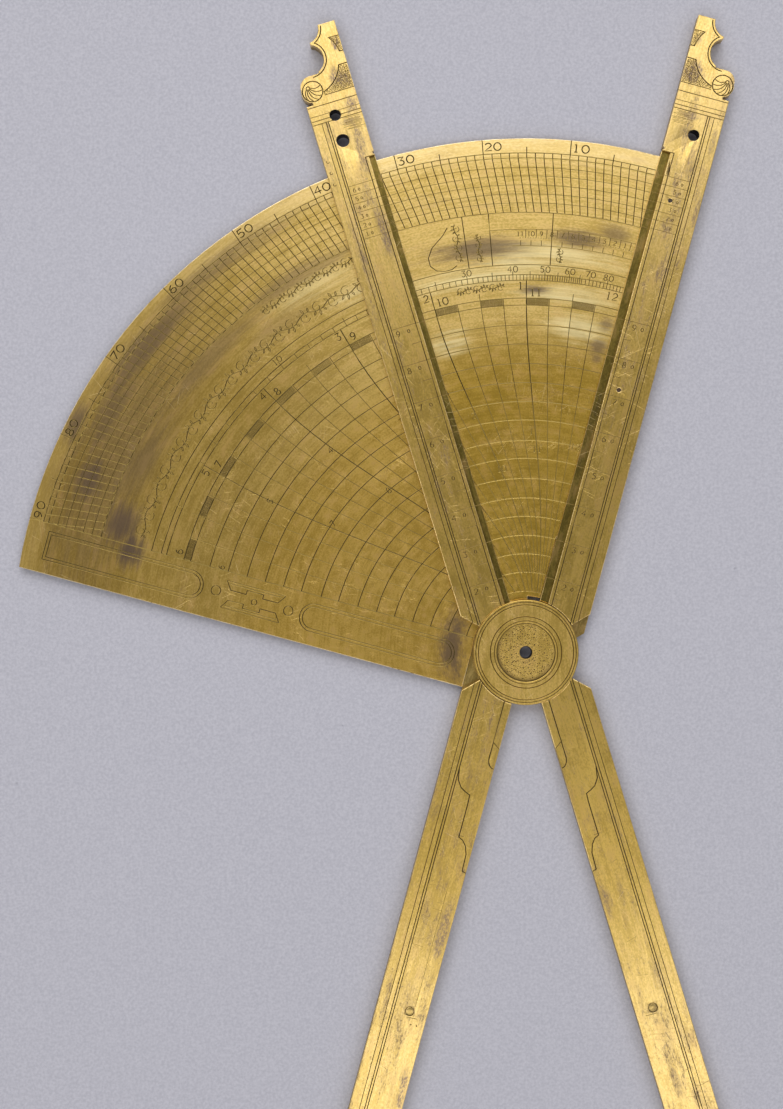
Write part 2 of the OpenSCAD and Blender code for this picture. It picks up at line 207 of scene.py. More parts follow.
# The ring of unequal degrees: each falls where a sundial's hour angle for it would
RING_FIVES, RING_TICK, RING_IN = 381.5 * PHOTO_MM, 378 * PHOTO_MM, 372.5 * PHOTO_MM
RING_FIGURES_PX, SUN_FACTOR = 383.6, 0.2575
plate_cuts += [(ring(r), PLAIN_CUT) for r in (BAND_FOOT, RING_TICK, RING_IN)]
for n in range(1, 90):
    at = math.degrees(math.atan(SUN_FACTOR / math.tan(math.radians(n))))
    top = RING_FIVES if n % 5 == 0 else RING_TICK
    if n < 66 or n % 2 == 0:
        plate_cuts.append((spot([RING_IN, top], at), FINE_CUT))
    if n % 10 == 0:
        plate_cuts += on_arc(str(n), RING_FIGURES_PX, at, 2.1, pitch=0.95, width=0.30)

# The hours: a checkered ring of quarter hours, the hour lines that bend towards the
# pivot, and the circles that they cross
HOUR_OUT, HOUR_IN, HALF_TOP, BEND_END = 354.5 * PHOTO_MM, 347.5 * PHOTO_MM, 361.5 * PHOTO_MM, 354 * PHOTO_MM
# Where the lines end near the pivot: those of half hours, of early and of late quarters, and the 90 line
HALF_FOOT_PX, EARLY_FOOT_PX, LATE_FOOT_PX, LINE_FOOT_PX = 61, 80, 136, 54
HOUR_RINGS = (327.5, 308.5, 289, 270, 251, 232.5, 212, 194, 174, 154.5, 136, 117, 98.5, 80, 61)
plate_cuts += [(ring(r), PLAIN_CUT) for r in (HOUR_OUT, HOUR_IN)]
plate_cuts += [(ring(r * PHOTO_MM, step=2 if r > 150 else 3), PLAIN_CUT) for r in HOUR_RINGS]
for n in np.arange(0, 90, 7.5):
    first, last = n + 3.95, n + 7.35
    if n < 45:
        plate_cuts += [(spot([HOUR_OUT, HOUR_IN], h), FINE_CUT) for h in np.linspace(first, last, 21)]
    else:
        rows = np.linspace(HOUR_IN + 0.3, HOUR_OUT - 0.3, 6)
        plate_cuts += [(ring(r, first, last), FINE_CUT) for r in rows]
for n in np.arange(3.75, 90, 3.75):
    hour, half = n % 15 == 0, n % 7.5 == 0
    top = RING_IN if hour else HALF_TOP if half else HOUR_OUT
    foot = HALF_FOOT_PX if half else EARLY_FOOT_PX if n < 45 else LATE_FOOT_PX
    r = np.linspace(HOUR_IN, foot * PHOTO_MM, 22)
    bend = np.sin(np.pi / 2 * r / BEND_END)
    at = np.degrees(np.arctan(bend * math.tan(math.radians(n))))
    plate_cuts.append((joined(spot([top], n), spot(r, at)), BOLD_CUT if hour else FINE_CUT))
plate_cuts.append((spot([LINE_FOOT_PX * PHOTO_MM, DEGREE_IN], 90), PLAIN_CUT))
# The figures by the hour lines: text, radius in pixels, angle, and the angle that it reads at
HOUR_ANGLES, OUTER_FIGURES_PX, INNER_FIGURES_PX = (15, 30, 45, 60, 75), 367, 360.5
hour_figures = [(text, OUTER_FIGURES_PX, n + 0.9, n) for n, text in zip(HOUR_ANGLES, "12345")]
for n, text in zip(HOUR_ANGLES, ("11", "10", "9", "8", "7")):
    hour_figures.append((text, INNER_FIGURES_PX, n - 1.0 - 0.25 * len(text), n))
hour_figures += [("12", 366.5, 1.5, 1), ("6", 361, 89.0, 89)]
for text, r, at, reads in hour_figures:
    plate_cuts += on_arc(text, r, at, 2.6, reads, width=BOLD_CUT)
# The smaller figures on the circles: text, radius in pixels and angle
CIRCLE_FIGURES = (
    ("6", 316, 89.6), ("5", 297, 74.6), ("4", 281, 59.2), ("3", 262, 43.4), ("2", 242, 27.6),
    ("1", 221, 13.6), ("7", 232, 71.5), ("8", 212, 55.4), ("9", 192, 40.2), ("10", 185, 22.6),
    ("11", 203.5, 11.9), ("12", 211.5, 1.5))
for text, r, at in CIRCLE_FIGURES:
    plate_cuts += on_arc(text, r, at, 2.1, width=0.30)


def strip_cut(points):
    """A cut on the strip below the 90 line: so far out along it, and so far below it, in photo pixels."""
    return -np.asarray(points, float) * PHOTO_MM, PLAIN_CUT


# The strip beyond the 90 line: two long panels, three small rings and a plain strapwork cartouche. A panel
# is given by its far and near end, its middle and its half width, a ring by its centre and radius.
FAR_PANEL, NEAR_PANEL = (492, 343, 22.3, 14.3), (214, 82, 22.6, 14)
STRIP_RINGS = ((315.4, 21.4, 4.8), (240.1, 22.3, 4.8), (275.4, 23, 2.8))
CARTOUCHE = (276.5, 22.7)
for inset in (0, 3.0):
    far, near, middle, half = np.array(FAR_PANEL) - [inset, 0, 0, inset]
    end = bow(near, middle, -half, half, -90, 90, 15)
    low, high = (far, middle - half), (far, middle + half)
    plate_cuts.append(strip_cut(joined(line(low), end, line(high, low))))
    far, near, middle, half = np.array(NEAR_PANEL) - [0, 0, 0, inset]
    end = bow(far, middle, half, half, -90, 90, 15)
    back = bow(near, middle, -half, half, 90, -90, 13)
    plate_cuts.append(strip_cut(joined(end, back, end[:1])))
for x, y, r in STRIP_RINGS:
    plate_cuts.append(strip_cut(bow(x, y, r, r, 0, 360, 19)))
STRAPWORK = (line((30.5, -13.8), (26.7, -8.4), (24.6, -5.2), (8.6, -5.1), (8.6, -9.2), (0, -9.3)),
             line((30.5, -13.8), (0, -13.8)),
             line((27, -11.4), (0, -11.4)))
for sx in (1, -1):
    for sy in (1, -1):
        plate_cuts += [strip_cut(strap * [sx, sy] + CARTOUCHE) for strap in STRAPWORK]


def turned_by(angle, points):
    """Points turned about the pivot: x cos - y sin, x sin + y cos."""
    c, s = math.cos(angle), math.sin(angle)
    return points @ np.array([[c, s], [-s, c]])


def stroke_outline(points, width):
    """A four-cornered patch for each part of a cut, and its bottom line. Its sides are the path moved half a
    width along the mitre of the two neighbours' normals, or along its own normal where the path bends too
    sharply for that. The bottom stops half a width short of each end."""
    keep = np.concatenate([[True], np.hypot(*np.diff(points, axis=0).T) > 1e-4])
    p = points[keep]
    d = np.diff(p, axis=0)
    d /= np.hypot(d[:, 0], d[:, 1])[:, None]
    normal = np.stack([-d[:, 1], d[:, 0]], 1)
    before = np.concatenate([normal[:1], normal])
    after = np.concatenate([normal, normal[-1:]])
    closed = len(p) > 3 and np.hypot(*(p[0] - p[-1])) < 1e-3
    if closed:
        before[0], after[-1] = normal[-1], normal[0]
    mitre = before + after
    mitre /= np.maximum(1 + (before * after).sum(1), 0.5)[:, None]
    bottom = p.copy()
    if not closed:
        lengths = np.hypot(*(p[1] - p[0])), np.hypot(*(p[-1] - p[-2]))
        bottom[0] += d[0] * min(width / 2, 0.4 * lengths[0])
        bottom[-1] -= d[-1] * min(width / 2, 0.4 * lengths[1])
    mitre, normal = mitre * width / 2, normal * width / 2
    patches = np.stack([(p - mitre)[:-1], (p - mitre)[1:], (p + mitre)[1:], (p + mitre)[:-1]], 1)
    plain = np.stack([p[:-1] - normal, p[1:] - normal, p[1:] + normal, p[:-1] + normal], 1)
    along = np.roll(patches, -1, 1) - patches
    after = np.roll(along, -1, 1)
    folded = (along[..., 0] * after[..., 1] - along[..., 1] * after[..., 0] < 1e-5).any(1)
    patches[folded] = plain[folded]
    return patches, bottom


def cad_triangles(node, side):
    """A CAD node's corners in mm and its triangles. Side -1 looks at it from below."""
    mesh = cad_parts[node].data
    co = np.empty(len(mesh.vertices) * 3, np.float32)
    mesh.vertices.foreach_get("co", co)
    mesh.calc_loop_triangles()
    tri = np.empty(len(mesh.loop_triangles) * 3, np.int32)
    mesh.loop_triangles.foreach_get("vertices", tri)
    co, tri = co.reshape(-1, 3).astype(float) * 1000, tri.reshape(-1, 3)
    if side < 0:
        co, tri = co * [1, 1, -1], tri[:, ::-1]
    return co, tri


def rim_of(tri, level):
    """The directed edges of the triangles that have no partner on their own level, with the level beyond
    each edge, or -1 where there is none."""
    edges = tri[:, [0, 1, 1, 2, 2, 0]].reshape(-1, 2).astype(np.int64)
    own = np.repeat(level, 3)
    key = edges[:, 0] * 10_000_000 + edges[:, 1]
    back = edges[:, 1] * 10_000_000 + edges[:, 0]
    order = np.argsort(key)
    place = np.minimum(np.searchsorted(key[order], back), len(key) - 1)
    found = key[order][place] == back
    beyond = np.where(found, own[order][place], -1)
    rim = beyond != own
    return edges[rim], own[rim], beyond[rim]


def filed_line(plan, edges, own, taken):
    """The line that the file leaves inside the rim: both ends of each rim edge, moved to where the distances
    from the edge's line and from its neighbour's line are the widths taken off the two."""
    d = plan[edges[:, 1]] - plan[edges[:, 0]]
    d /= np.hypot(d[:, 0], d[:, 1])[:, None]
    inward = np.stack([-d[:, 1], d[:, 0]], 1)
    every = np.arange(len(edges))
    start_key = edges[:, 0] * 10 + own
    end_key = edges[:, 1] * 10 + own
    order = np.argsort(start_key)
    follows = order[np.minimum(np.searchsorted(start_key[order], end_key), len(order) - 1)]
    follows = np.where(start_key[follows] == end_key, follows, every)
    leads = every.copy()
    leads[follows] = every
    ends = []
    for corner, one, two in ((edges[:, 0], leads, every), (edges[:, 1], every, follows)):
        a, b, ca, cb = inward[one], inward[two], taken[one], taken[two]
        det = a[:, 0] * b[:, 1] - a[:, 1] * b[:, 0]
        sharp = np.abs(det) > 0.12
        safe = np.where(sharp, det, 1)
        x = np.where(sharp, (ca * b[:, 1] - cb * a[:, 1]) / safe, (a[:, 0] + b[:, 0]) * (ca + cb) / 4)
        y = np.where(sharp, (cb * a[:, 0] - ca * b[:, 0]) / safe, (a[:, 1] + b[:, 1]) * (ca + cb) / 4)
        long = np.maximum(np.hypot(x, y) / (3 * FILED_EDGE), 1)
        ends.append(plan[corner] + np.stack([x, y], 1) / long[:, None])
    return ends


def piece_of(name, verts, tris, kind, materials, crease):
    """A piece from corners in mm and triangles, without those that have shrunk to a line. Kind picks each
    triangle's material, and the crease is the angle past which an edge shades as sharp."""
    good = (tris[:, 0] != tris[:, 1]) & (tris[:, 1] != tris[:, 2]) & (tris[:, 2] != tris[:, 0])
    mesh = bpy.data.meshes.new(name)
    mesh.from_pydata((verts / 1000).tolist(), [], tris[good].tolist())
    mesh.polygons.foreach_set("material_index", kind[good].astype(np.int32))
    mesh.polygons.foreach_set("use_smooth", np.ones(good.sum(), bool))
    mesh.set_sharp_from_angle(angle=math.radians(crease))
    for m in materials:
        mesh.materials.append(m)
    mesh.update()
    piece = bpy.data.objects.new(name, mesh)
    bpy.context.scene.collection.objects.link(piece)
    return piece


def keep_dirt(piece, dirt):
    """Stores the dirt packed in at each corner of a piece, for its materials to read."""
    attribute = piece.data.attributes.new("packed_in", "FLOAT", "POINT")
    attribute.data.foreach_set("value", dirt.astype(np.float32))


def engraved_sheet(name, node, cuts, materials, side=1, turn=BASE_TURN):
    """A flat sheet with the CAD node's outline, holes and steps, filed edges and V cuts. The outline, an
    inner line that the file leaves, and every cut's two sides and bottom are triangulated together in the
    plane. Each bottom line then goes down by half its width times the slope, and each rim by the filed edge.
    Dirt is packed in by the depth, less its share along x squared, since the sheet is wiped that way."""
    co, tri = cad_triangles(node, side)
    corner = co[tri]
    normal = np.cross(corner[:, 1] - corner[:, 0], corner[:, 2] - corner[:, 0])
    normal /= np.maximum(np.linalg.norm(normal, axis=1), 1e-12)[:, None]
    flat = normal[:, 2] > 0.999
    heights = np.unique(np.round(corner[flat][:, :, 2].mean(1), 2))
    nearest = np.abs(corner[:, :, 2].max(1)[:, None] - heights).min(1) < 0.01
    walls = (np.abs(normal[:, 2]) < 0.02) & nearest
    base_z = co[:, 2].min()
    flat_corners = np.round(co[tri[flat]][:, :, :2].reshape(-1, 2), 4)
    plan, index = np.unique(flat_corners, axis=0, return_inverse=True)
    plan_tri = index.reshape(-1, 3)
    plan_level = np.abs(corner[flat][:, :, 2].mean(1)[:, None] - heights).argmin(1)

    # The rim, the filed line inside it and the cuts, triangulated together
    edges, own, beyond = rim_of(plan_tri, plan_level)
    below_a_step = (beyond >= 0) & (heights[np.maximum(beyond, 0)] > heights[own])
    taken = np.where(below_a_step, 0.0, FILED_EDGE)
    inner_a, inner_b = filed_line(plan, edges, own, taken)
    filed = taken > 0
    n_filed = filed.sum()
    points = [plan, inner_a[filed], inner_b[filed]]
    count = len(plan) + 2 * n_filed
    lines = [(len(plan) + i, len(plan) + n_filed + i) for i in range(n_filed)]
    faces = plan_tri.tolist()
    depth_of = [0.0] * len(lines)
    for path, width in cuts:
        patches, bottom = stroke_outline(turned_by(turn, np.asarray(path, float)), width)
        n = len(patches)
        points += [patches.reshape(-1, 2), bottom]
        faces += (count + np.arange(4 * n).reshape(-1, 4)).tolist()
        lines += [(count + 4 * n + i, count + 4 * n + i + 1) for i in range(n)]
        depth_of += [width / 2 * CUT_SLOPE] * n
        count += 5 * n + 1
    out, out_edges, out_faces, _, edge_from, face_from = delaunay_2d_cdt(
        np.concatenate(points).tolist(), lines, faces, 0, 1e-5, True)
    spots = np.array([v[:] for v in out])
    of_plan = len(plan_tri)
    level = np.array([
        max((plan_level[f] for f in source if f < of_plan), key=lambda k: heights[k], default=-1)
        for source in face_from])
    cut = np.array([bool(source) and max(source) >= of_plan for source in face_from])
    faces = np.array(out_faces)
    doubled = np.cross(spots[faces[:, 1]] - spots[faces[:, 0]], spots[faces[:, 2]] - spots[faces[:, 0]])
    faces[doubled < 0] = faces[doubled < 0][:, ::-1]
    kept = (level >= 0) & (np.abs(doubled) > 1e-9)
    faces, level, cut = faces[kept], level[kept], cut[kept]

    # How deep each corner lies, and how much dirt the bottom of a cut keeps
    bottoms = [(e, max(depth_of[s] for s in source if s < len(lines)))
               for e, source in zip(out_edges, edge_from) if source and min(source) < len(lines)]
    ends = np.array([e for e, _ in bottoms])
    depths = np.array([x for _, x in bottoms])
    way = spots[ends[:, 1]] - spots[ends[:, 0]]
    kept_dirt = depths * (1 - WIPED * way[:, 0] ** 2 / np.maximum((way ** 2).sum(1), 1e-12))
    deep, soil = np.zeros(len(spots)), np.zeros(len(spots))
    for k in (0, 1):
        np.maximum.at(deep, ends[:, k], depths)
        np.maximum.at(soil, ends[:, k], kept_dirt)

    # Height of each corner on each level, then the walls from each rim edge down to what lies beyond it
    edges, own, beyond = rim_of(faces, level)
    lower = (beyond < 0) | (heights[np.maximum(beyond, 0)] < heights[own])
    edges, own, beyond = edges[lower], own[lower], beyond[lower]
    rim = np.zeros((len(spots), len(heights)))
    for k in (0, 1):
        rim[edges[:, k], own] = FILED_DROP
    top = heights[None, :] - np.maximum(rim, deep[:, None])
    a, b = (np.column_stack([spots[edges[:, k]], top[edges[:, k], own]]) for k in (0, 1))
    a_foot, b_foot = (
        np.column_stack([
            spots[edges[:, k]], np.where(beyond < 0, base_z, top[edges[:, k], np.maximum(beyond, 0)])])
        for k in (0, 1))
    surface = np.stack([np.column_stack([spots[faces[:, k]], top[faces[:, k], level]]) for k in range(3)], 1)
    wall = np.concatenate([np.stack([a, a_foot, b_foot], 1), np.stack([a, b_foot, b], 1)])
    rest = corner[~(flat | walls)]
    whole = np.concatenate([surface, wall, rest])
    # Materials: 0 the face, 1 a cut, 2 a filed edge, which is given a painted highlight, 3 a step, which the
    # bars
    #     # paint dark as shade
    on_rim = (rim[faces, level[:, None]] > 0).any(1)
    face_kind = np.where(cut, 1, np.where(on_rim, 2, np.where(level < len(heights) - 1, 3, 0)))
    kind = np.concatenate([face_kind, np.zeros(len(wall) + len(rest), int)])
    dirt = np.concatenate([(soil[faces] * cut[:, None]).ravel(), np.zeros(3 * (len(wall) + len(rest)))])

    if side < 0:
        whole = whole[:, ::-1] * [1, 1, -1]
        dirt = dirt.reshape(-1, 3)[:, ::-1].ravel()
    verts, index = np.unique(np.round(whole.reshape(-1, 3), 4), axis=0, return_inverse=True)
    packed_in = np.zeros(len(verts))
    np.maximum.at(packed_in, index.ravel(), dirt)
    piece = piece_of(name, verts, index.reshape(-1, 3), kind, materials, 20)
    keep_dirt(piece, np.minimum(packed_in / (PLAIN_CUT / 2 * CUT_SLOPE), 1.2))
    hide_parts(node)
    return piece


class Tone:
    """A value, colour or place that changes over a surface: one output of a shader node. Sums, differences,
    products and quotients with tones and numbers are math nodes in the same tree."""

    def __init__(self, socket):
        self.socket, self.tree = socket, socket.id_data

    def __add__(self, other):
        return reckoned("ADD", self, other)

    def __radd__(self, other):
        return reckoned("ADD", other, self)

    def __sub__(self, other):
        return reckoned("SUBTRACT", self, other)

    def __rsub__(self, other):
        return reckoned("SUBTRACT", other, self)

    def __mul__(self, other):
        return reckoned("MULTIPLY", self, other)

    def __truediv__(self, other):
        return reckoned("DIVIDE", self, other)


def feed(socket, value):
    """Gives a socket a tone, a number, a colour or a place."""
    if isinstance(value, Tone):
        value.tree.links.new(value.socket, socket)
    elif isinstance(value, tuple) and socket.type == "RGBA":
        socket.default_value = (*value[:3], 1)
    else:
        socket.default_value = value


def add(tree, kind, **settings):
    """A shader node with its settings. A setting named after a socket is fed to that socket."""
    made = tree.nodes.new("ShaderNode" + kind)
    for key, value in settings.items():
        if key in made.bl_rna.properties:
            setattr(made, key, value)
        else:
            feed(made.inputs[key.replace("_", " ")], value)
    return made


def reckoned(operation, *values):
    """One step of arithmetic on tones and numbers."""
    tree = next(v.tree for v in values if isinstance(v, Tone))
    made = add(tree, "Math", operation=operation)
    for socket, value in zip(made.inputs, values):
        feed(socket, value)
    return Tone(made.outputs[0])


def clamped(tone):
    """The last sum or product, kept between 0 and 1."""
    tone.socket.node.use_clamp = True
    return tone


def stepped(operation, one, two=(0, 0, 0)):
    """One step of arithmetic on places. A distance or a length is a number."""
    made = add(one.tree, "VectorMath", operation=operation)
    feed(made.inputs[0], one)
    feed(made.inputs[1], two)
    return Tone(made.outputs["Value" if operation in ("DISTANCE", "LENGTH") else "Vector"])


def blended(share, one, two):
    """A colour between two others by a share from 0 to 1."""
    made = add(share.tree, "Mix", data_type="RGBA")
    for i, value in ((0, share), (6, one), (7, two)):
        feed(made.inputs[i], value)
    return Tone(made.outputs[2])


def ramped(value, low, high):
    """0 below low, 1 above high and a smooth step between them. With low above high it runs the other way."""
    made = add(value.tree, "MapRange", interpolation_type="SMOOTHSTEP", Value=value, From_Min=min(low, high),
               From_Max=max(low, high), To_Min=float(low > high), To_Max=float(low < high))
    return Tone(made.outputs["Result"])


def noise_at(place, scale, detail=4.0, stretch=(1, 1, 1), offset=(0, 0, 0), roughness=0.55):
    """Noise over a surface, stretched along its grain."""
    mapping = add(place.tree, "Mapping", Vector=place, Scale=stretch, Location=offset)
    made = add(place.tree, "TexNoise", Vector=Tone(mapping.outputs[0]), Scale=scale, Detail=detail,
               Roughness=roughness)
    return Tone(made.outputs[0])


def own_place(tree):
    """The surface's own place."""
    return Tone(add(tree, "TexCoord").outputs["Object"])


def turned_place(tree, angle):
    """The surface's own place, turned so that the piece's length lies along Y."""
    return Tone(add(tree, "Mapping", Vector=own_place(tree), Rotation=(0, 0, angle)).outputs[0])


def parts_of(place):
    """A place's three coordinates."""
    return [Tone(o) for o in add(place.tree, "SeparateXYZ", Vector=place).outputs]


def placed_at(x, y):
    """The place of two coordinates."""
    return Tone(add(x.tree, "CombineXYZ", X=x, Y=y).outputs[0])


def about_pivot(place):
    """The radius about the pivot, the root of x squared plus y squared, and the angle from the 0 line, the
    arc tangent of -x over y."""
    x, y, _ = parts_of(place)
    return reckoned("SQRT", x * x + y * y), reckoned("ARCTAN2", x * -1.0, y)


def effect_group(name, inputs, outputs):
    """A shader node group. Each input's usual value says whether it is a number, a place or a colour."""
    group = bpy.data.node_groups.new(name, "ShaderNodeTree")
    for label, value in inputs.items():
        kind = "Float" if isinstance(value, float) else "Vector" if len(value) == 3 else "Color"
        socket = group.interface.new_socket(name=label, in_out="INPUT", socket_type="NodeSocket" + kind)
        socket.default_value = value
    for label in outputs:
        kind = "Color" if label == "Color" else "Float"
        group.interface.new_socket(name=label, in_out="OUTPUT", socket_type="NodeSocket" + kind)
    start = group.nodes.new("NodeGroupInput")
    end = group.nodes.new("NodeGroupOutput")
    return group, {o.name: Tone(o) for o in start.outputs if o.name}, end.inputs


def use_group(group, place, **values):
    """Places a group in a material, and gives its outputs by name."""
    made = add(place.tree, "Group", node_tree=group, Vector=place, **values)
    return {o.name: Tone(o) for o in made.outputs}


# Old brass, hand scraped and burnished along the grain (Y of the place it is given)
old_brass, given, out = effect_group(
    "old_brass",
    {"Vector": (0, 0, 0), "Bright": (0.72, 0.52, 0.2, 1), "Olive": (0.42, 0.3, 0.08, 1),
     "Smudge": (0.2, 0.14, 0.1, 1), "Smudging": 0.5, "Grain": 1.0},
    ("Color", "Roughness", "Height"))
place = given["Vector"]
cloudy = noise_at(place, 22, 5, (1, 0.6, 1))
mottled = noise_at(place, 300, 4, (1, 0.4, 1), (3, 1, 0))
scraped = noise_at(place, 1300, 3, (1, 0.035, 1), (0, 7, 0))
hairline = noise_at(place, 2600, 2, (1, 0.02, 1), (5, 0, 0))
grainy = noise_at(place, 1900, 2, (1, 0.6, 1), (1, 4, 0))
tone = cloudy * 0.5 + mottled * 0.5 + (scraped - 0.5) * 0.5 + (grainy - 0.5) * 0.62
base = blended(ramped(tone, 0.34, 0.66), given["Olive"], given["Bright"])
rosy = blended(ramped(mottled, 0.5, 0.72) * 0.3, base, (0.5, 0.3, 0.12))
# Fine dark specks that crowd into streaks, over a thin violet-grey veil
streaky = noise_at(place, 85, 5, (1.5, 0.22, 1), (9, 2, 0), 0.6)
crowded = noise_at(place, 420, 3, (1, 0.28, 1), (4, 6, 0))
crowding = ramped(streaky * 0.6 + crowded * 0.4, 0.49, 0.66)
specked = noise_at(place, 2300, 3, (1, 0.3, 1), (2, 8, 0), 0.6)
specks = ramped(specked + crowding * 0.13, 0.60, 0.68) * (0.4 + crowding * 0.55)
dark = clamped(reckoned("MAXIMUM", specks, crowding * 0.38) * given["Smudging"])
smudged = blended(dark, rosy, given["Smudge"])
# Thin pale scratches in a few directions
scored = 0.0
for way in (0.5, -0.9, 1.35):
    turned = add(place.tree, "Mapping", vector_type="TEXTURE", Vector=place, Rotation=(0, 0, way),
                 Scale=(1, 60, 1), Location=(way, 0, 0))
    thin = add(place.tree, "TexNoise", Vector=Tone(turned.outputs[0]), Scale=4200, Detail=1)
    scored = reckoned("MAXIMUM", scored, ramped(Tone(thin.outputs[0]), 0.70, 0.76))
scored = scored * ramped(streaky, 0.44, 0.58)
feed(out["Color"], blended(scored * 0.4, smudged, (0.90, 0.70, 0.36)))
feed(out["Roughness"], clamped(0.25 + mottled * 0.12 + hairline * 0.1 + dark * 0.28))
lift = hairline * 0.5 + scraped * 0.7 + grainy * 0.6 + cloudy * 1.6 - (specks + scored) * 0.9
feed(out["Height"], lift * given["Grain"])

# Painted shade down the wall of a hole, nearly black, and dirt in a thin ring round its mouth
hole_shade, given, out = effect_group(
    "hole_shade", {"Vector": (0, 0, 0), "Centre": (0, 0, 0), "Radius": 0.002}, ("Mask",))
apart = stepped("DISTANCE", stepped("MULTIPLY", given["Vector"], (1, 1, 0)), given["Centre"])
feed(out["Mask"], ramped(apart - given["Radius"], 0.00028, 0.00008))

# A soft-edged patch at a radius and an angle about the pivot, broken up by noise
patch_at, given, out = effect_group(
    "patch_at", {"Vector": (0, 0, 0), "Radius": 0.1, "Angle": 1.0, "Deep": 0.005, "Wide": 0.1}, ("Mask",))
radius, angle = about_pivot(given["Vector"])
away_r = (radius - given["Radius"]) / given["Deep"]
away_a = (angle - given["Angle"]) / given["Wide"]
polar = placed_at(radius * 14.0, angle * 0.22)
ragged = noise_at(polar, 30, 5, roughness=0.65)
streaked = noise_at(polar, 110, 3, (1, 0.6, 1), roughness=0.6)
away = reckoned("SQRT", away_r * away_r + away_a * away_a) + (ragged - 0.5) * 1.3 + (streaked - 0.5) * 1.1
feed(out["Mask"], ramped(away, 1.35, 0.2))

# A speckled smear: an ellipse about a centre, in metres, with a ragged edge
smear_at, given, out = effect_group(
    "smear_at", {"Vector": (0, 0, 0), "Centre": (0, 0, 0), "Size": (1, 1, 1)}, ("Mask",))
place = given["Vector"]
scaled = stepped("DIVIDE", stepped("SUBTRACT", place, given["Centre"]), given["Size"])
away = stepped("LENGTH", stepped("MULTIPLY", scaled, (1, 1, 0)))
ragged = noise_at(place, 420, 4, (1, 0.3, 1), (2, 5, 0), 0.65)
dots = ramped(noise_at(place, 2500, 3, (1, 0.4, 1), (7, 1, 0), 0.65), 0.42, 0.58)
feed(out["Mask"], ramped(away + (ragged - 0.5) * 2.4, 1.25, 0.35) * (0.3 + dots * 0.7))


def shader(name):
    """A new material and its principled shader."""
    m = bpy.data.materials.new(name)
    m.use_nodes = True
    return m, m.node_tree.nodes["Principled BSDF"]


def worked(shade, colour, rough, height, metal=0.94, bump=0.35, deep=0.00006):
    """Gives a metal its colour, its roughness and its fine relief, which is this deep in metres."""
    feed(shade.inputs["Base Color"], colour)
    feed(shade.inputs["Roughness"], rough)
    shade.inputs["Metallic"].default_value = metal
    bumped = add(shade.id_data, "Bump", Strength=bump, Distance=deep, Height=height)
    feed(shade.inputs["Normal"], Tone(bumped.outputs[0]))


def brushed(shade, across, amount):
    """Stretches the gloss across the scratches: across is a direction in the piece's own space."""
    turned = add(shade.id_data, "VectorTransform", vector_type="VECTOR", convert_from="OBJECT",
                 convert_to="WORLD")
    feed(turned.inputs[0], across)
    feed(shade.inputs["Tangent"], Tone(turned.outputs[0]))
    shade.inputs["Anisotropic"].default_value = amount


def across_bar(tree, angle):
    """The direction square to a bar that is turned by this angle."""
    return Tone(add(tree, "CombineXYZ", X=math.cos(angle), Y=math.sin(angle)).outputs[0])


def with_grime(colour, holes):
    """A colour with painted shade down some holes and dirt round their mouths, each hole given as its centre
    in mm and its radius in mm.
    """
    place = own_place(colour.tree)
    for x, y, r in holes:
        mask = use_group(hole_shade, place, Centre=(x / 1000, y / 1000, 0), Radius=r / 1000)["Mask"]
        # Nearly black: painted shade on the hole's wall, and dirt at its mouth
        colour = blended(mask, colour, (0.03, 0.02, 0.018))
    return colour


def brass(name, angle, bright, olive, smudge, smudging=0.5, grain=1.0, bump=0.35, metal=0.94, holes=()):
    """A brass finish: the group's colour, roughness and height on a metal shader."""
    m, shade = shader(name)
    brushed(shade, across_bar(m.node_tree, -angle), 0.6)
    made = use_group(old_brass, turned_place(m.node_tree, angle), Bright=bright, Olive=olive, Smudge=smudge,
                     Smudging=smudging, Grain=grain)
    worked(shade, with_grime(made["Color"], holes), made["Roughness"], made["Height"], metal, bump)
    return m


def cut_brass(name, angle, bright, dirt, least, rubbed_out=None):
    """The inside of a cut: brass at its lips and dried polish and dirt packed into its bottom. Where
    rubbed_out is given, little dirt is left between the arms: within its radii about the pivot and before
    its angles."""
    m, shade = shader(name)
    place = turned_place(m.node_tree, angle)
    packed_in = Tone(add(m.node_tree, "Attribute", attribute_name="packed_in").outputs["Fac"])
    share = clamped(packed_in * (1.3 + noise_at(place, 60, 3)) + least)
    if rubbed_out:
        radius, around = about_pivot(place)
        near, far, first, last = rubbed_out
        share = share * (1.0 - ramped(radius, far, near) * ramped(around, last, first) * 0.7)
    feed(shade.inputs["Base Color"], blended(share, bright, dirt))
    feed(shade.inputs["Roughness"], 0.3 + share * 0.4)
    shade.inputs["Metallic"].default_value = 0.85
    return m


def patches(place, spots):
    """The union of soft patches, each given as a radius, an angle, their half widths and a strength."""
    whole = 0.0
    for at, degree, deep, wide, strength in spots:
        mask = use_group(patch_at, place, Radius=at, Angle=math.radians(degree), Deep=deep,
                         Wide=math.radians(wide))["Mask"]
        whole = reckoned("MAXIMUM", whole, mask * strength)
    return whole


plate_brass, shade = shader("plate_brass_engraved")
place = turned_place(plate_brass.node_tree, -BASE_TURN)
radius, angle = about_pivot(place)
polar = placed_at(radius, angle * 0.13)
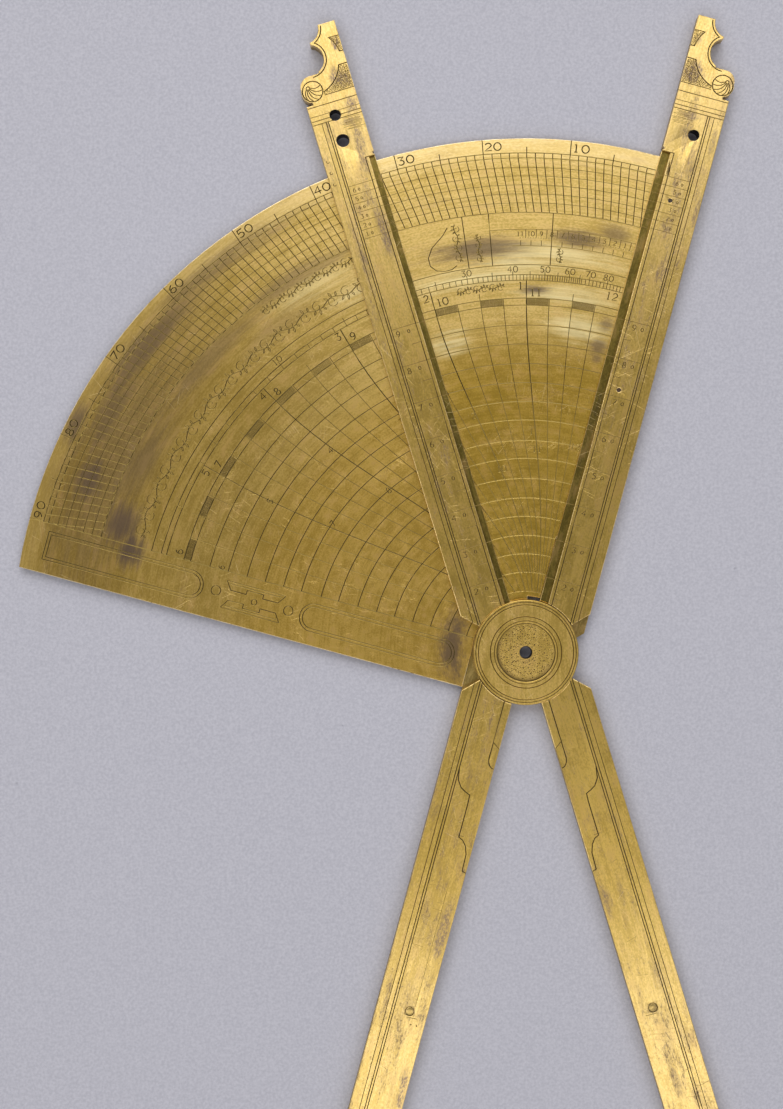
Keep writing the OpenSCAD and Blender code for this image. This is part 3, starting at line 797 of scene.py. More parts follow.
# Paler where hands and the index have rubbed the outer rings, dark olive near the hinge between the arms,
# # darker and duller on the outer left, and a darker golden brown towards the strip, which is painted shade.
# # Each row gives where a pair of tones, bright and olive, takes over from the pair before it.
inner = ramped(radius, 0.122, 0.092)
sheltered = inner * (1.0 - ramped(angle, 0.50, 0.62))
dulled = ramped(angle, 0.50, 1.15) * ramped(radius, 0.075, 0.13)
# Painted shade: the outer rings are darkened towards the strip
shaded = ramped(angle, 0.85, 1.30) * (ramped(radius, 0.138, 0.150) * ramped(radius, 0.179, 0.171))
bright, olive = (0.75, 0.54, 0.185), (0.54, 0.37, 0.095)
for share, brighter, darker in (
        (ramped(radius, 0.170, 0.178), (0.92, 0.71, 0.32), (0.80, 0.58, 0.21)),
        (inner, (0.60, 0.395, 0.09), (0.45, 0.285, 0.05)),
        (sheltered * 0.85, (0.44, 0.285, 0.042), (0.33, 0.21, 0.026)),
        (dulled * 0.85, (0.44, 0.295, 0.068), (0.33, 0.215, 0.042)),
        (shaded * 0.6, (0.31, 0.205, 0.045), (0.23, 0.147, 0.028))):
    bright, olive = blended(share, bright, brighter), blended(share, olive, darker)
made = use_group(old_brass, polar, Bright=bright, Olive=olive, Smudge=(0.22, 0.155, 0.11), Smudging=0.3,
                 Grain=1.0)
brushed(shade, own_place(plate_brass.node_tree), 0.35)
# The hidden back has neither the rubbed places with their painted highlights nor the stains
heights = cad_triangles("quadrant_plate", 1)[0][:, 2] / 1000
front = reckoned("GREATER_THAN", parts_of(place)[2], float(heights.min() + heights.max()) / 2)
streaks = noise_at(polar, 420, 5, (1, 0.03, 1), (1, 1, 0), 0.7)
# Rubbed places, with pale painted highlights on them, and stains: radius in metres, angle in degrees, half
# widths of both,
# # strength
RUB_SHEENS = (
    (0.1400, 12, 0.0046, 11, 1.0), (0.1335, 24, 0.0034, 12, 1.0), (0.1375, 16, 0.0040, 6, 1.0),
    (0.1262, 9, 0.0034, 8, 1.0), (0.1150, 6, 0.0050, 6, 1.0), (0.1115, 28.8, 0.0048, 4, 1.0),
    (0.1400, 39, 0.0042, 6, 0.6), (0.1485, 45, 0.0040, 7, 0.5))
# Painted highlights: a pale, streaky sheen over the rubbed places, which are also made a little glossier
rub_sheen = patches(place, RUB_SHEENS) * (ramped(streaks, 0.34, 0.56) * front)
colour = blended(rub_sheen * 0.85, made["Color"], (0.95, 0.785, 0.39))
# Violet-brown stains where something wet once lay
STAINS = (
    (0.1738, 55, 0.0042, 13, 0.55), (0.1712, 66, 0.0056, 12, 0.7), (0.1682, 75, 0.0058, 8, 0.6),
    (0.1650, 83.6, 0.0068, 3.8, 0.8), (0.1490, 87.3, 0.0068, 4.0, 0.85), (0.1506, 79, 0.0062, 8, 0.5),
    (0.1520, 62, 0.0045, 12, 0.45), (0.1435, 90.8, 0.0055, 2.8, 0.9), (0.1774, 78.3, 0.0034, 3.0, 0.75),
    (0.1425, 21.5, 0.0048, 8, 0.8), (0.1463, 7.6, 0.0040, 4.4, 0.8), (0.1276, 13.5, 0.0018, 3.0, 0.9),
    (0.1545, 47, 0.0036, 10, 0.55), (0.1440, 52, 0.0040, 7, 0.3), (0.1605, 80, 0.0165, 19, 0.42),
    (0.1187, 1.3, 0.0028, 1.5, 0.65), (0.1100, 1.8, 0.0042, 1.9, 0.7), (0.1504, 3.0, 0.0038, 2.2, 0.6),
    (0.1066, 1.5, 0.0022, 1.2, 0.6), (0.0262, 100, 0.0052, 34, 0.85))
stained = patches(place, STAINS) * front
colour = blended(stained * 0.95, colour, (0.10, 0.07, 0.06))
worked(shade, colour, made["Roughness"] - rub_sheen * 0.05 + stained * 0.22, made["Height"], bump=0.32)

plate_cut = cut_brass("plate_cuts", -BASE_TURN, (0.5, 0.36, 0.1), (0.05, 0.034, 0.016), least=0.17,
                      rubbed_out=(0.080, 0.098, 0.50, 0.62))
# Painted highlight: pale, bright brass on the filed edges, partly the polish of handling and partly a painted
# highlight
edge_highlight_brass = brass("filed_edge_highlight", -BASE_TURN, (0.97, 0.82, 0.50), (0.80, 0.60, 0.27), (0.2, 0.13, 0.07),
                    smudging=1.0, grain=0.8, bump=0.3)
plate = engraved_sheet("engraved_plate", "quadrant_plate", plate_cuts, [plate_brass, plate_cut, edge_highlight_brass])
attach(plate, "base")

# The base bar's arm
# The top leaf of the fixed bar's long arm, sheet brass riveted to a core and a back
# leaf. A step filed along its inner edge leaves the fine line that readings are
# taken from, and the end beyond the scale is sawn and filed to a scroll.

# Places on an arm, in mm from the line of its inner edge and out from the pivot
HOLE_IN = 9.4
RAIL_LINES, RAIL_LOW, RAIL_HIGH = (12.4, 13.2), 14, 198
OUTER_LINE, OUTER_LOW, STEP_END = 14.8, 12, 182.3
TENS_START, TENS_PITCH, SMALL_START, SMALL_PITCH = 13.93, 13.46, 154.9, 3.19
MOULDING = (198.0, 199.3, 200.9, 204.2, 207.3)
VOLUTE, EYE = np.array([14.6, 209.7]), np.array([15.9, 211.2])
VOLUTE_R, EYE_R = 3.6, 0.6
HOLLOW, TIP_HOLLOW = np.array([12.8, 220.7]), np.array([11.5, 231.5])
INDEX_MARKS = (176.2, 180.4, 184.5)
SCROLL_CUT, DENT_CUT = 0.42, 0.34


def bar_place(points, hand, leg=False):
    """Places on a bar given as (distance from its inner edge's line, distance out along it). The index bar,
    hand -1, is drawn as the base bar's mirror image, and a leg is an arm turned half round."""
    p = np.asarray(points, float)
    return np.stack([(-hand if leg else hand) * p[:, 0], (-1 if leg else 1) * p[:, 1]], 1)


def stippled(inside, low, high, seed, pitch=0.42):
    """Short punched dents on a jittered grid, kept where the test says that they are inside the ground."""
    rng = np.random.default_rng(seed)
    x, y = np.meshgrid(np.arange(low[0], high[0], pitch), np.arange(low[1], high[1], pitch))
    spots = np.stack([x.ravel(), y.ravel()], 1)
    spots = spots + rng.uniform(-0.15, 0.15, spots.shape)
    spots = spots[inside(spots[:, 0], spots[:, 1])]
    way = rng.uniform(0, math.pi, len(spots))
    half = 0.14 * np.stack([np.cos(way), np.sin(way)], 1)
    return [(np.stack([s - h, s + h]), DENT_CUT) for s, h in zip(spots, half)]


def behind_scroll(d, v):
    """Between the scroll's inner curve, the arm's edges and the volute."""
    past_curve = np.hypot(d - HOLLOW[0], v - HOLLOW[1]) > 10.9 + (216 - v) * 0.2
    past_volute = np.hypot(d - VOLUTE[0], v - VOLUTE[1]) > VOLUTE_R + 0.3
    return past_curve & past_volute & (d > 0.3) & (v > 207.7) & (v < 215.8)


def below_tip(d, v):
    """The small wedge beside the inner edge, below the tip."""
    return (d > 0.3) & (d < 1.2 + (v - 220.6) * 0.40) & (v > 220.8) & (v < 225.9)


def arm_artwork(hand, edge_line, tens_at, small_tens_at):
    """Cuts of an arm: edge lines, the scales of tens with their cross lines, and the scroll's engraving. The
    two places of a scale say how far in from the edge its numerals and their small zeros stand."""
    cuts = [(line((d, RAIL_LOW), (d, RAIL_HIGH)), PLAIN_CUT) for d in RAIL_LINES]
    cuts.append((line((OUTER_LINE, OUTER_LOW), (OUTER_LINE, RAIL_HIGH)), FINE_CUT))
    cuts.append((line((edge_line, OUTER_LOW), (edge_line, STEP_END), (0.6, STEP_END)), PLAIN_CUT))
    for v in TENS_START + TENS_PITCH * np.arange(1, 9):
        halfway = v - TENS_PITCH / 2
        cuts.append((line((0.2, v), (12.3, v)), FINE_CUT))
        cuts.append((line((edge_line, halfway), (7, halfway)), FINE_CUT))
    for v in SMALL_START + SMALL_PITCH * np.arange(7):
        cuts.append((line((0.2, v), (12.2, v)), 0.2))
    # The end block: hatching, a pair of cross lines and the scroll's moulding
    rng = np.random.default_rng(5 + hand)
    for v in np.arange(193.2, 197.4, 0.42):
        a, b = rng.uniform(0.2, 2), rng.uniform(5, 8)
        cuts.append((line((a, v), (b, v + rng.uniform(-0.25, 0.25))), 0.17))
    for v, end in zip(MOULDING, (18, 18, 18, 18, 11)):
        cuts.append((line((0.1, v), (end, v)), FINE_CUT if v == MOULDING[2] else PLAIN_CUT))
    cuts.append((bow(*VOLUTE, VOLUTE_R, VOLUTE_R, 0, 360, 25), SCROLL_CUT))
    cuts.append((bow(*EYE, EYE_R, EYE_R, 0, 360, 9), DENT_CUT))
    # The volute's shell: each rib bows from the eye to the rim
    for a in range(155, 341, 31):
        start, end = np.radians(a + 25), np.radians(a)
        tip = VOLUTE + (VOLUTE_R - 0.1) * np.array([math.cos(end), math.sin(end)])
        root = EYE + (EYE_R + 0.05) * np.array([math.cos(start), math.sin(start)])
        swell = (root + tip) / 2 + 0.34 * np.array([root[1] - tip[1], tip[0] - root[0]])
        t = np.linspace(0, 1, 7)[:, None]
        cuts.append(((1 - t) ** 2 * root + 2 * t * (1 - t) * swell + t ** 2 * tip, DENT_CUT))
    # The border that follows the hollows, the scroll's inner curve and the punched ground behind it
    hollow = np.radians(np.linspace(262, 206, 11))
    reach = np.linspace(12.4, 10.7, 11)
    inner_curve = HOLLOW + np.stack([reach * np.cos(hollow), reach * np.sin(hollow)], 1)
    wedge = line((0.1, 220.5), (1.5, 220.6), (1.9, 222.6), (2.7, 224.6), (3.8, 226.2), (0.1, 226.1))
    border = joined(bow(*TIP_HOLLOW, 6.2, 6.2, 184, 248, 9), bow(*HOLLOW, 6.3, 6.3, 128, 272, 19))
    cuts += [(path, SCROLL_CUT) for path in (border, joined(inner_curve, line((0.1, 216.1))), wedge)]
    cuts += stippled(behind_scroll, (0, 207), (11, 216), seed=3)
    cuts += stippled(below_tip, (0, 220), (4, 226), seed=4)
    if hand < 0:
        for v in INDEX_MARKS:
            cuts.append((bow(16.6, v, 0.5, 0.5, 200, 420, 7), FINE_CUT))
    placed = [(bar_place(p, hand), w) for p, w in cuts]
    # The figures read upwards, so they are placed after the mirroring. Each row of the table gives the tens
    # and their pitch, then for a numeral and its small zero where 1 would stand, how far in, height, width.
    for tens, pitch, outs, ins, heights, widths in (
            (range(2, 10), TENS_PITCH, (11.93, 11.93), tens_at, (2.0, 1.2), (0.27, 0.26)),
            (range(1, 7), SMALL_PITCH, (156.4, 156.3), small_tens_at, (1.4, 0.85), (0.22, 0.22))):
        for n in tens:
            for text, v, d, height, width in zip((str(n), "0"), outs, ins, heights, widths):
                centre = bar_place([(d, v + pitch * (n - 1))], hand)[0]
                placed += numerals(text, centre, height, width=width)
    return placed


def bar_finishes(label, hand, turn, holes, smears):
    """One bar's brass for its face, brighter towards both ends as a painted highlight, its cuts, its filed
    edges with a painted highlight, and its step painted dark as shade.
    """
    m, shade = shader(label + "_face")
    place = turned_place(m.node_tree, -turn)
    out_along = parts_of(place)[1]
    # Painted highlight: the face is paler and brighter towards both ends of the bar, soonest along the leg
    end_sheen = ramped(reckoned("MAXIMUM", out_along, out_along * -1.35), 0.09, 0.20)
    bright = blended(end_sheen, (0.65, 0.445, 0.11), (0.88, 0.645, 0.25))
    olive = blended(end_sheen, (0.475, 0.32, 0.07), (0.68, 0.48, 0.15))
    made = use_group(old_brass, place, Bright=bright, Olive=olive, Smudge=(0.22, 0.16, 0.135),
                     Smudging=0.68, Grain=1.0)
    brushed(shade, across_bar(m.node_tree, turn), 0.6)
    smeared = 0.0
    for d, v, wide, long, strength, leg in smears:
        x, y = bar_place([(d, v)], hand, leg)[0] / 1000
        mask = use_group(smear_at, place, Centre=(x, y, 0), Size=(wide / 1000, long / 1000, 1))["Mask"]
        smeared = reckoned("MAXIMUM", smeared, mask * strength)
    colour = blended(smeared, made["Color"], (0.20, 0.145, 0.125))
    worked(shade, with_grime(colour, holes), made["Roughness"], made["Height"], bump=0.4)
    cut = cut_brass(label + "_cuts", -turn, (0.50, 0.35, 0.10), (0.045, 0.03, 0.016), least=0.28)
    # Painted highlight: pale, bright brass on the filed edges, partly the polish of handling and partly a
    # painted highlight
    filed = brass(label + "_filed_edges", -turn, (0.90, 0.68, 0.30), (0.62, 0.43, 0.14), (0.2, 0.13, 0.07),
                  smudging=1.0, grain=0.8, bump=0.3)
    # Painted shade: the step along the inner edge is given a dark olive brass
    step = brass(label + "_shaded_step", -turn, (0.235, 0.17, 0.032), (0.135, 0.097, 0.016),
                 (0.06, 0.042, 0.025), bump=0.3, metal=0.8)
    return [m, cut, filed, step]


def bar_hole(hand, turn, out, r):
    """A through hole in an arm: its centre in the object's frame and its radius."""
    x, y = turned_by(turn, bar_place([(HOLE_IN, out)], hand))[0]
    return x, y, r


BASE_HOLES = [bar_hole(1, BASE_TURN, 190.2, 2.0)]
# Smears: distances from the inner edge and from the pivot, half widths and half lengths in mm, strength,
# and whether it is on the leg
BASE_SMEARS = (
    (10.8, 181, 1.2, 8, 0.45, False), (9.8, 140, 0.9, 3.5, 0.7, False), (16.4, 189, 1.0, 8, 0.55, False),
    (17.3, 165, 0.8, 9, 0.6, False), (6.5, 196.6, 4.5, 1.5, 0.7, False), (3.8, 211.5, 4.0, 4.0, 1.0, False),
    (2.0, 223.5, 1.6, 2.5, 0.6, False), (2.4, 102, 2.2, 10, 0.8, True), (1.8, 161, 1.6, 9, 0.9, True),
    (8, 128, 3, 8, 0.35, True))
base_finishes = bar_finishes("base_bar", 1, BASE_TURN, BASE_HOLES, BASE_SMEARS)
base_arm_cuts = arm_artwork(1, edge_line=4.37, tens_at=(6.9, 9.8), small_tens_at=(8.2, 10.0))
base_arm = engraved_sheet("engraved_base_arm", "base_arm_front", base_arm_cuts, base_finishes)
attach(base_arm, "base")

# The base bar's leg
# The top leaf of the leg, on the other side of the pivot from the arm. It has edge
# lines of its own, and an ogee line runs round its tongue-shaped hollow.


# The three lines along a leg, in mm from its inner edge's line, and where they start, pass the ogee and end
LEG_LINES, LEG_LOW, LEG_SHOULDER, LEG_HIGH = (11.95, 12.83, 14.6), 10, 49, 204


def leg_artwork(hand):
    """Cuts of a leg: edge lines, the tongue's border, the ogee line round its hollow and a few scratches."""
    inner, middle, outer = LEG_LINES
    tongue = joined(line((2.8, 12), (2.8, 38.6)), bow(0.2, 39.0, 2.6, 3.5, 0, 90, 7))
    ogee = line((inner, 45), (11.25, 49.2), (9.5, 51.7), (7.7, 52.7), (6.0, 53.4), (5.8, 56), (5.8, 68.6),
                (4.2, 69.3), (2.8, 71), (1.76, 73.8), (1.58, 79.8), (0.1, 80.2))
    cuts = [(line((inner, LEG_LOW), (inner, LEG_SHOULDER)), PLAIN_CUT),
            (line((middle, LEG_LOW), (middle, LEG_HIGH)), PLAIN_CUT),
            (line((outer, LEG_LOW), (outer, LEG_HIGH)), FINE_CUT),
            (line((inner, LEG_SHOULDER), (inner, LEG_HIGH)), PLAIN_CUT),
            (tongue, BOLD_CUT), (line((2.8, 33.4), (1.2, 34.5), (0.1, 35.3)), FINE_CUT), (ogee, BOLD_CUT),
            (line((4.2, 68), (6.7, 68)), FINE_CUT), (line((3.2, 134), (7, 134.2)), FINE_CUT)]
    rng = np.random.default_rng(11 + hand)
    for v in rng.uniform(60, 200, 14):
        a = rng.uniform(0.5, 11)
        cuts.append((line((a, v), (a + rng.uniform(1.5, 5), v + rng.uniform(-1.2, 1.2))), 0.1))
    return [(bar_place(p, hand, leg=True), w) for p, w in cuts]


base_leg_cuts = leg_artwork(1)
base_leg_cuts.append((bar_place(line((4.9, 88), (5.0, 130)), 1, leg=True), 0.12))
for d in (4.9, 2.8):
    base_leg_cuts.append((bar_place(bow(d, 136.4, 0.16, 0.16, 0, 360, 7), 1, leg=True), 0.3))
base_leg = engraved_sheet("engraved_base_leg", "base_leg_front", base_leg_cuts, base_finishes)
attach(base_leg, "base")

# The back leaves and the core of the base bar
# Plainer, thinner sheet brass under the arm and the leg, and between the leaves a core
# that is cut away to take the plate. The layers are riveted through and filed flush.


def inner_brass(label, turn, holes):
    """The plain brushed brass of a bar's back leaf, and the filed brass of its core."""
    back = brass(label + "_back_leaf", -turn, (0.62, 0.44, 0.15), (0.36, 0.255, 0.075), (0.15, 0.1, 0.06),
                 smudging=0.8, grain=1.2, bump=0.4, holes=holes)
    core = brass(label + "_core_layer", -turn, (0.5, 0.36, 0.12), (0.30, 0.21, 0.06), (0.12, 0.085, 0.05),
                 smudging=0.7, grain=1.2, bump=0.4, holes=holes)
    return back, core


def refinish(cad, material):
    """Gives a CAD node, whose shape is right as it is, its finish."""
    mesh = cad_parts[cad].data
    mesh.materials.clear()
    mesh.materials.append(material)


back_brass, core_brass = inner_brass("base", BASE_TURN, BASE_HOLES)
for label, cad in (("filed_base_arm_back", "base_arm_back"), ("filed_base_leg_back", "base_leg_back")):
    leaf = engraved_sheet(label, cad, [], [back_brass, back_brass, edge_highlight_brass, back_brass], side=-1)
    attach(leaf, "base")
refinish("base_core", core_brass)

# The rivets and pins of the base bar
# Brass wire, hammered into both leaves and filed flush, so that only faint rings
# and a slightly paler dot show. Two steel pins hold the plate in its slot.

rivet_brass = brass("base_rivets_hammered", 0, (0.78, 0.57, 0.24), (0.52, 0.37, 0.12), (0.2, 0.14, 0.08),
                    smudging=0.6, grain=1.4, bump=0.5)
for cad in ("base_arm_rivets", "base_block_rivets", "base_leg_rivets"):
    refinish(cad, rivet_brass)


def old_steel(name, bright, dull, rusting):
    """Hand-filed iron gone brown: noise picks between bare metal, dull grey and rust."""
    m, shade = shader(name)
    place = own_place(m.node_tree)
    filed = noise_at(place, 1800, 3, (1, 0.2, 0.6))
    rust = ramped(noise_at(place, 900, 5, offset=(4, 4, 0)), 0.5, 0.68) * rusting
    base = blended(ramped(noise_at(place, 400, 5), 0.35, 0.65), dull, bright)
    colour = blended(rust, base, (0.13, 0.06, 0.03))
    worked(shade, colour, 0.34 + (rust * 0.4 + filed * 0.14), filed + rust, 0.85, 0.4, 0.00005)
    return m


pin_steel = old_steel("plate_pin_steel", (0.09, 0.075, 0.065), (0.04, 0.03, 0.028), rusting=0.6)
refinish("plate_pins", pin_steel)

# The base leg's end: a plug and a steel point
# A divider point tapers out of the leg's foot, held in a slot in the core. The plug
# is a domed brass pin in a dark ring beside it.


def turned_piece(name, profile, centre, materials, steps=48, slots=None):
    """A turned piece: each (radius, height) of the profile in mm runs round the centre's axis. A radius of 0
    closes the surface with a fan. Slots gives each band's material."""
    profile = np.array(profile, float)
    a = np.linspace(0, 2 * math.pi, steps, endpoint=False)
    x = centre[0] + profile[:, :1] * np.cos(a)
    y = centre[1] + profile[:, :1] * np.sin(a)
    verts = np.stack([x, y, np.repeat(profile[:, 1:], steps, 1)], 2).reshape(-1, 3)
    i, j = np.meshgrid(np.arange(len(profile) - 1), np.arange(steps), indexing="ij")
    k = (j + 1) % steps
    quads = np.stack([i * steps + j, i * steps + k, (i + 1) * steps + k, (i + 1) * steps + j], -1)
    quads = quads.reshape(-1, 4)
    tris = np.concatenate([quads[:, [0, 1, 2]], quads[:, [0, 2, 3]]])
    verts, index = np.unique(np.round(verts, 5), axis=0, return_inverse=True)
    kind = np.zeros(len(profile) - 1, np.int32) if slots is None else np.array(slots, np.int32)
    return piece_of(name, verts, index[tris], np.tile(np.repeat(kind, steps), 2), materials, 28)


# A plug's dome and the ring sunk round it: radius and height in mm
PLUG_RING = [(0, 5.38), (0.7, 5.36), (1.2, 5.30), (1.42, 5.2), (1.5, 5.0), (1.62, 5.0), (1.66, 5.36),
             (1.75, 5.36)]
plug_finishes = [rivet_brass, cut_brass("plug_ring", 0, (0.4, 0.28, 0.09), (0.05, 0.03, 0.015), least=0.8)]


def leg_plug(name, cad):
    """A domed plug that keeps the CAD plug's place and depth, with a ring sunk round it."""
    low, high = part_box(cad)
    low, high = np.array(low) * 1000, np.array(high) * 1000
    profile = PLUG_RING + [(1.75, low[2]), (0, low[2])]
    slots = [0, 0, 0, 1, 1, 1, 0, 0, 0]
    centre = (low[:2] + high[:2]) / 2
    piece = turned_piece(name, profile[::-1], centre, plug_finishes, steps=40, slots=slots)
    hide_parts(cad)
    return piece


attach(leg_plug("domed_base_plug", "base_leg_plug"), "base")
point_steel = old_steel("divider_point_steel", (0.42, 0.37, 0.31), (0.20, 0.165, 0.14), rusting=0.7)
refinish("base_point", point_steel)

# The index bar
# The turning bar, the base bar's mirror image with its arm and leg in one piece
# with a round head that wraps the pivot.

INDEX_TURN = -BASE_TURN
INDEX_HOLES = [bar_hole(-1, INDEX_TURN, 190.2, 2.3), bar_hole(-1, INDEX_TURN, 199.5, 2.0)]
INDEX_SMEARS = (
    (3.2, 201.8, 2.7, 3.8, 1, False), (3.8, 211.4, 4.0, 4.0, 1, False), (2.0, 223.5, 1.6, 2.5, 1, False),
    (4.0, 187, 1.7, 9, 0.75, False), (4.5, 155, 2.4, 11, 0.7, False), (5, 196.2, 4, 1.5, 0.6, False),
    (9, 218.5, 2.2, 4, 0.45, False), (14.5, 147, 2, 9, 0.5, False), (6.9, 158.5, 1.6, 6, 0.45, True),
    (1.6, 92, 1.3, 7, 0.6, True), (12, 120, 3, 9, 0.3, True))
index_finishes = bar_finishes("index_bar", -1, INDEX_TURN, INDEX_HOLES, INDEX_SMEARS)
index_cuts = arm_artwork(-1, edge_line=3.57, tens_at=(10.5, 6.7), small_tens_at=(10.6, 8.9)) + leg_artwork(-1)
index_cuts.append((bar_place(line((12.2, 162.2), (14.5, 162.8), (18, 162.1)), -1, leg=True), 0.16))
index = engraved_sheet("engraved_index", "index_front", index_cuts, index_finishes, turn=INDEX_TURN)
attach(index, "index")

index_back_brass, index_core_brass = inner_brass("index", INDEX_TURN, INDEX_HOLES)
# Painted highlight: pale, bright brass on the back leaf's filed edges
index_back_sheen = brass("index_back_edge_highlight", -INDEX_TURN, (0.95, 0.78, 0.42), (0.8, 0.6, 0.26),
                         (0.4, 0.28, 0.12), grain=0.8, bump=0.2)
index_back_finishes = [index_back_brass, index_back_brass, index_back_sheen, index_back_brass]
index_back = engraved_sheet("filed_index_back", "index_back", [], index_back_finishes, -1, INDEX_TURN)
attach(index_back, "index")

# The blocks, rivets, plug and point of the index bar
# Brass blocks between the leaves keep a gap for the plate, and flush rivets go
# through them. The leg ends in the second divider point.

for cad in ("index_block_core", "index_leg_core"):
    refinish(cad, index_core_brass)
for cad in ("index_block_rivets", "index_leg_rivets"):
    refinish(cad, rivet_brass)
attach(leg_plug("domed_index_plug", "index_leg_plug"), "index")
refinish("index_point", point_steel)

# The pivot and its cover
# A flanged brass tube joins the two bars, with a hole right through it. A turned
# cover with lathe-cut rings hides its riveted end, and its sunk middle is punched.

COVER_LOW, COVER_TOP, RIM, RECESS, BORE = 4.2, 5.8, 18.45, 10.2, 2.1
# Radius and width of each groove of the lathe
GROOVES = ((17.55, 0.34), (16.63, 0.42), (12.5, 0.42), (11.1, 0.34))
RECESS_DEEP, GROOVE_DEEP = 0.8, 0.17
# Corners round the cover, rings of its sunk middle, and the fine and the plain step of its face in mm
COVER_STEPS, SUNK_RINGS, FINE_STEP, PLAIN_STEP = 420, 56, 0.06, 0.4

tube_brass = brass("pivot_tube_brass", 0, (0.66, 0.47, 0.17), (0.4, 0.28, 0.085), (0.15, 0.1, 0.06),
                   smudging=0.6, holes=[(0, 0, BORE)])
refinish("pivot_tube", tube_brass)


def lathe_groove(r, at, width, depth):
    """A rounded groove: depth times the cosine bell across its width."""
    return depth * np.where(np.abs(r - at) < width / 2, 0.5 + 0.5 * np.cos(2 * math.pi * (r - at) / width), 0)


rim = [(BORE, COVER_LOW), (RIM, COVER_LOW), (RIM, COVER_TOP - 0.34), (RIM - 0.08, COVER_TOP - 0.14),
       (RIM - 0.22, COVER_TOP - 0.03)]
face_r = np.concatenate([np.arange(RIM - 0.3, 16.3, -FINE_STEP), np.arange(16.2, 12.9, -PLAIN_STEP),
                         np.arange(12.85, RECESS + 0.3, -FINE_STEP)])
face_z = COVER_TOP - sum(lathe_groove(face_r, at, width, GROOVE_DEEP) for at, width in GROOVES)
shelf = [(RECESS + 0.2, COVER_TOP - 0.03), (RECESS + 0.06, COVER_TOP - 0.14), (RECESS, COVER_TOP - 0.3),
         (RECESS, COVER_TOP - RECESS_DEEP + 0.06)]
sunk_r = np.linspace(RECESS - 0.06, BORE + 0.25, SUNK_RINGS)
sunk_z = np.full(SUNK_RINGS, COVER_TOP - RECESS_DEEP)
mouth = [(BORE + 0.08, COVER_TOP - 0.84), (BORE, COVER_TOP - 1.0), (BORE, COVER_LOW)]
profile = np.concatenate([rim, np.stack([face_r, face_z], 1), shelf, np.stack([sunk_r, sunk_z], 1), mouth])

cover_finish, shade = shader("turned_cover_brass")
place = own_place(cover_finish.node_tree)
x, y, _ = parts_of(place)
lathe_place = placed_at(reckoned("SQRT", x * x + y * y), reckoned("ARCTAN2", y, x) * 0.012)
made = use_group(old_brass, place, Bright=(0.70, 0.485, 0.135), Olive=(0.50, 0.335, 0.075),
                 Smudge=(0.26, 0.18, 0.10), Smudging=0.3, Grain=0.6)
turning = noise_at(lathe_place, 2600, 2, (1, 0.05, 1))
packed_in = Tone(add(cover_finish.node_tree, "Attribute", attribute_name="packed_in").outputs["Fac"])
# The stored dirt also holds the painted shade on the recess's wall
soiled_and_shaded = blended(packed_in, made["Color"], (0.045, 0.03, 0.015))
rough = made["Roughness"] + packed_in * 0.25
worked(shade, with_grime(soiled_and_shaded, [(0, 0, BORE)]), rough, made["Height"] + turning)
cover = turned_piece("turned_hinge_cover", profile, (0, 0), [cover_finish], COVER_STEPS)
flat = np.empty(len(cover.data.vertices) * 3, np.float32)
cover.data.vertices.foreach_get("co", flat)
co = flat.reshape(-1, 3).astype(float) * 1000
own_r = np.hypot(co[:, 0], co[:, 1])

# Punched pits: one at each point of a sunflower spiral, shifted a little, each a cone with a soft rim
N_PITS, GOLDEN_ANGLE, PIT_DEEP = 620, math.radians(137.508), 0.16
rng = np.random.default_rng(8)
turn = np.arange(N_PITS) * GOLDEN_ANGLE
reach = np.sqrt(np.linspace((BORE + 0.6) ** 2, (RECESS - 0.5) ** 2, N_PITS))
pit_x = reach * np.cos(turn) + rng.uniform(-0.25, 0.25, N_PITS)
pit_y = reach * np.sin(turn) + rng.uniform(-0.25, 0.25, N_PITS)
pit_w = 0.13 + 0.22 * rng.random(N_PITS) ** 2
in_recess = (own_r < RECESS - 0.2) & (own_r > BORE + 0.3) & (co[:, 2] > COVER_TOP - 0.9)
away = np.hypot(co[in_recess, 0][:, None] - pit_x, co[in_recess, 1][:, None] - pit_y) / pit_w
sunk = np.clip(1 - away, 0, 1).max(1)
co[in_recess, 2] -= PIT_DEEP * sunk
cover.data.vertices.foreach_set("co", (co / 1000).astype(np.float32).ravel())

# Dirt lies in the pits and in the grooves. The recess's wall is painted dark as shade, and its foot is
# # darker all round, least of all on the foot's upper right side
dirt = np.zeros(len(co))
dirt[in_recess] = np.clip(sunk * 1.8, 0, 1)
upper_right = (0.5 * co[:, 0] + 0.86 * co[:, 1]) / np.maximum(own_r, 1)
foot = np.clip((own_r - RECESS + 1.7) / 1.5, 0, 1) * np.clip(0.55 - upper_right * 0.75, 0, 1)
dirt = np.maximum(dirt, np.where(in_recess, foot * 0.75, 0))
for at, width in GROOVES:
    dirt = np.maximum(dirt, np.where(co[:, 2] > COVER_TOP - 0.3, lathe_groove(own_r, at, width, 1.0), 0))
# Painted shade: the recess's wall is made nearly as dark as packed dirt
shaded_wall = (np.abs(own_r - RECESS) < 0.13) & (co[:, 2] < COVER_TOP - 0.1)
dirt = np.maximum(dirt, np.where(shaded_wall, 0.85, 0))
keep_dirt(cover, dirt)
cover.data.update()
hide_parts("hinge_cover")
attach(cover, "index")

# The floor, lights and camera
# The instrument lies flat on a pale grey card, seen from straight above. Long soft
# lamps on both sides light it, so that the flat brass is evenly bright.

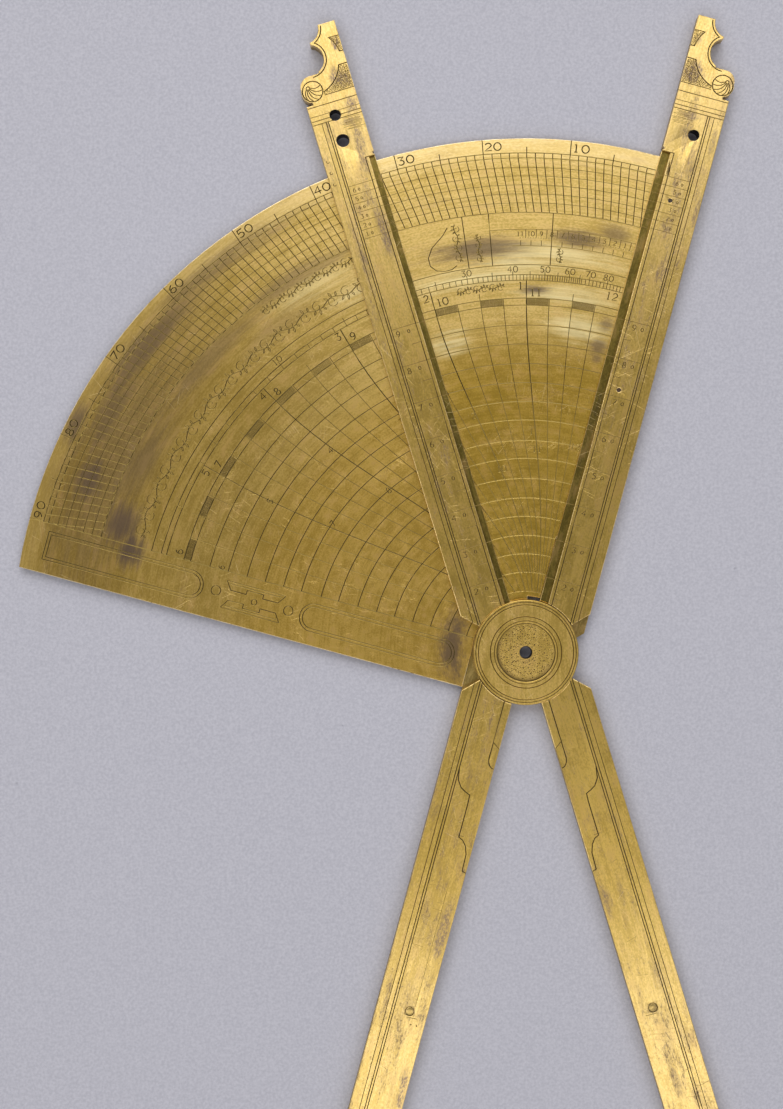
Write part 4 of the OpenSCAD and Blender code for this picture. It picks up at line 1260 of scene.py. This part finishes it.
CARD_HALF, CARD_Z = 4, -0.0002
card, shade = shader("pale_card")
place = own_place(card.node_tree)
tone = ramped(noise_at(place, 1050, 4, roughness=0.72), 0.3, 0.7)
paper = blended(tone, (0.435, 0.437, 0.502), (0.538, 0.538, 0.604))
specks = ramped(noise_at(place, 220, 2), 0.76, 0.80) * 0.5
feed(shade.inputs["Base Color"], blended(specks, paper, (0.26, 0.26, 0.32)))
shade.inputs["Roughness"].default_value = 0.9
shade.inputs["Specular IOR Level"].default_value = 0.1
mesh = bpy.data.meshes.new("card")
corners = [(x * CARD_HALF, y * CARD_HALF, CARD_Z) for x, y in ((-1, -1), (1, -1), (1, 1), (-1, 1))]
mesh.from_pydata(corners, [], [(0, 1, 2, 3)])
mesh.materials.append(card)
floor = bpy.data.objects.new("card", mesh)
bpy.context.scene.collection.objects.link(floor)

# Each lamp's place and aim in metres, its width, depth and power
LAMPS = (
    ("window_far", (-0.1, 1.6, 1.1), (0, 0, 0), 1.6, 0.9, 12),
    ("window_near", (0.1, -1.6, 1.1), (0, 0, 0), 1.6, 0.9, 4),
    ("overhead_far", (0, 0.77, 1.25), (0, 0.05, 0), 2.4, 0.55, 8),
    ("overhead_near", (0, -0.60, 1.25), (0, -0.05, 0), 2.4, 0.5, 6.4),
    ("overhead_left", (-0.75, 0, 1.2), (-0.05, 0, 0), 1.4, 0.7, 2))
WARM_WHITE = (1.0, 0.98, 0.95)
for name, at, aim, wide, deep, power in LAMPS:
    lamp = bpy.data.lights.new(name, "AREA")
    lamp.shape, lamp.size, lamp.size_y, lamp.energy, lamp.color = "RECTANGLE", wide, deep, power, WARM_WHITE
    lit = bpy.data.objects.new(name, lamp)
    lit.location = at
    lit.rotation_euler = (Vector(aim) - Vector(at)).to_track_quat("-Z", "Y").to_euler()
    bpy.context.scene.collection.objects.link(lit)
world = bpy.data.worlds.new("room")
world.use_nodes = True
world.node_tree.nodes["Background"].inputs["Color"].default_value = (0.24, 0.24, 0.25, 1)
bpy.context.scene.world = world
bpy.context.scene.view_settings.view_transform = "Standard"

# Millimetres of film width and focal length, the camera's place in metres and its roll in degrees
FILM, FOCAL = 36, 53.75
CAMERA_AT, CAMERA_ROLL = (-0.0466, 0.03499, 0.5854), -0.85
lens = bpy.data.cameras.new("camera")
lens.sensor_width, lens.lens = FILM, FOCAL
camera = bpy.data.objects.new("camera", lens)
camera.location = CAMERA_AT
camera.rotation_euler = (0, 0, math.radians(CAMERA_ROLL))
bpy.context.scene.collection.objects.link(camera)
bpy.context.scene.camera = camera
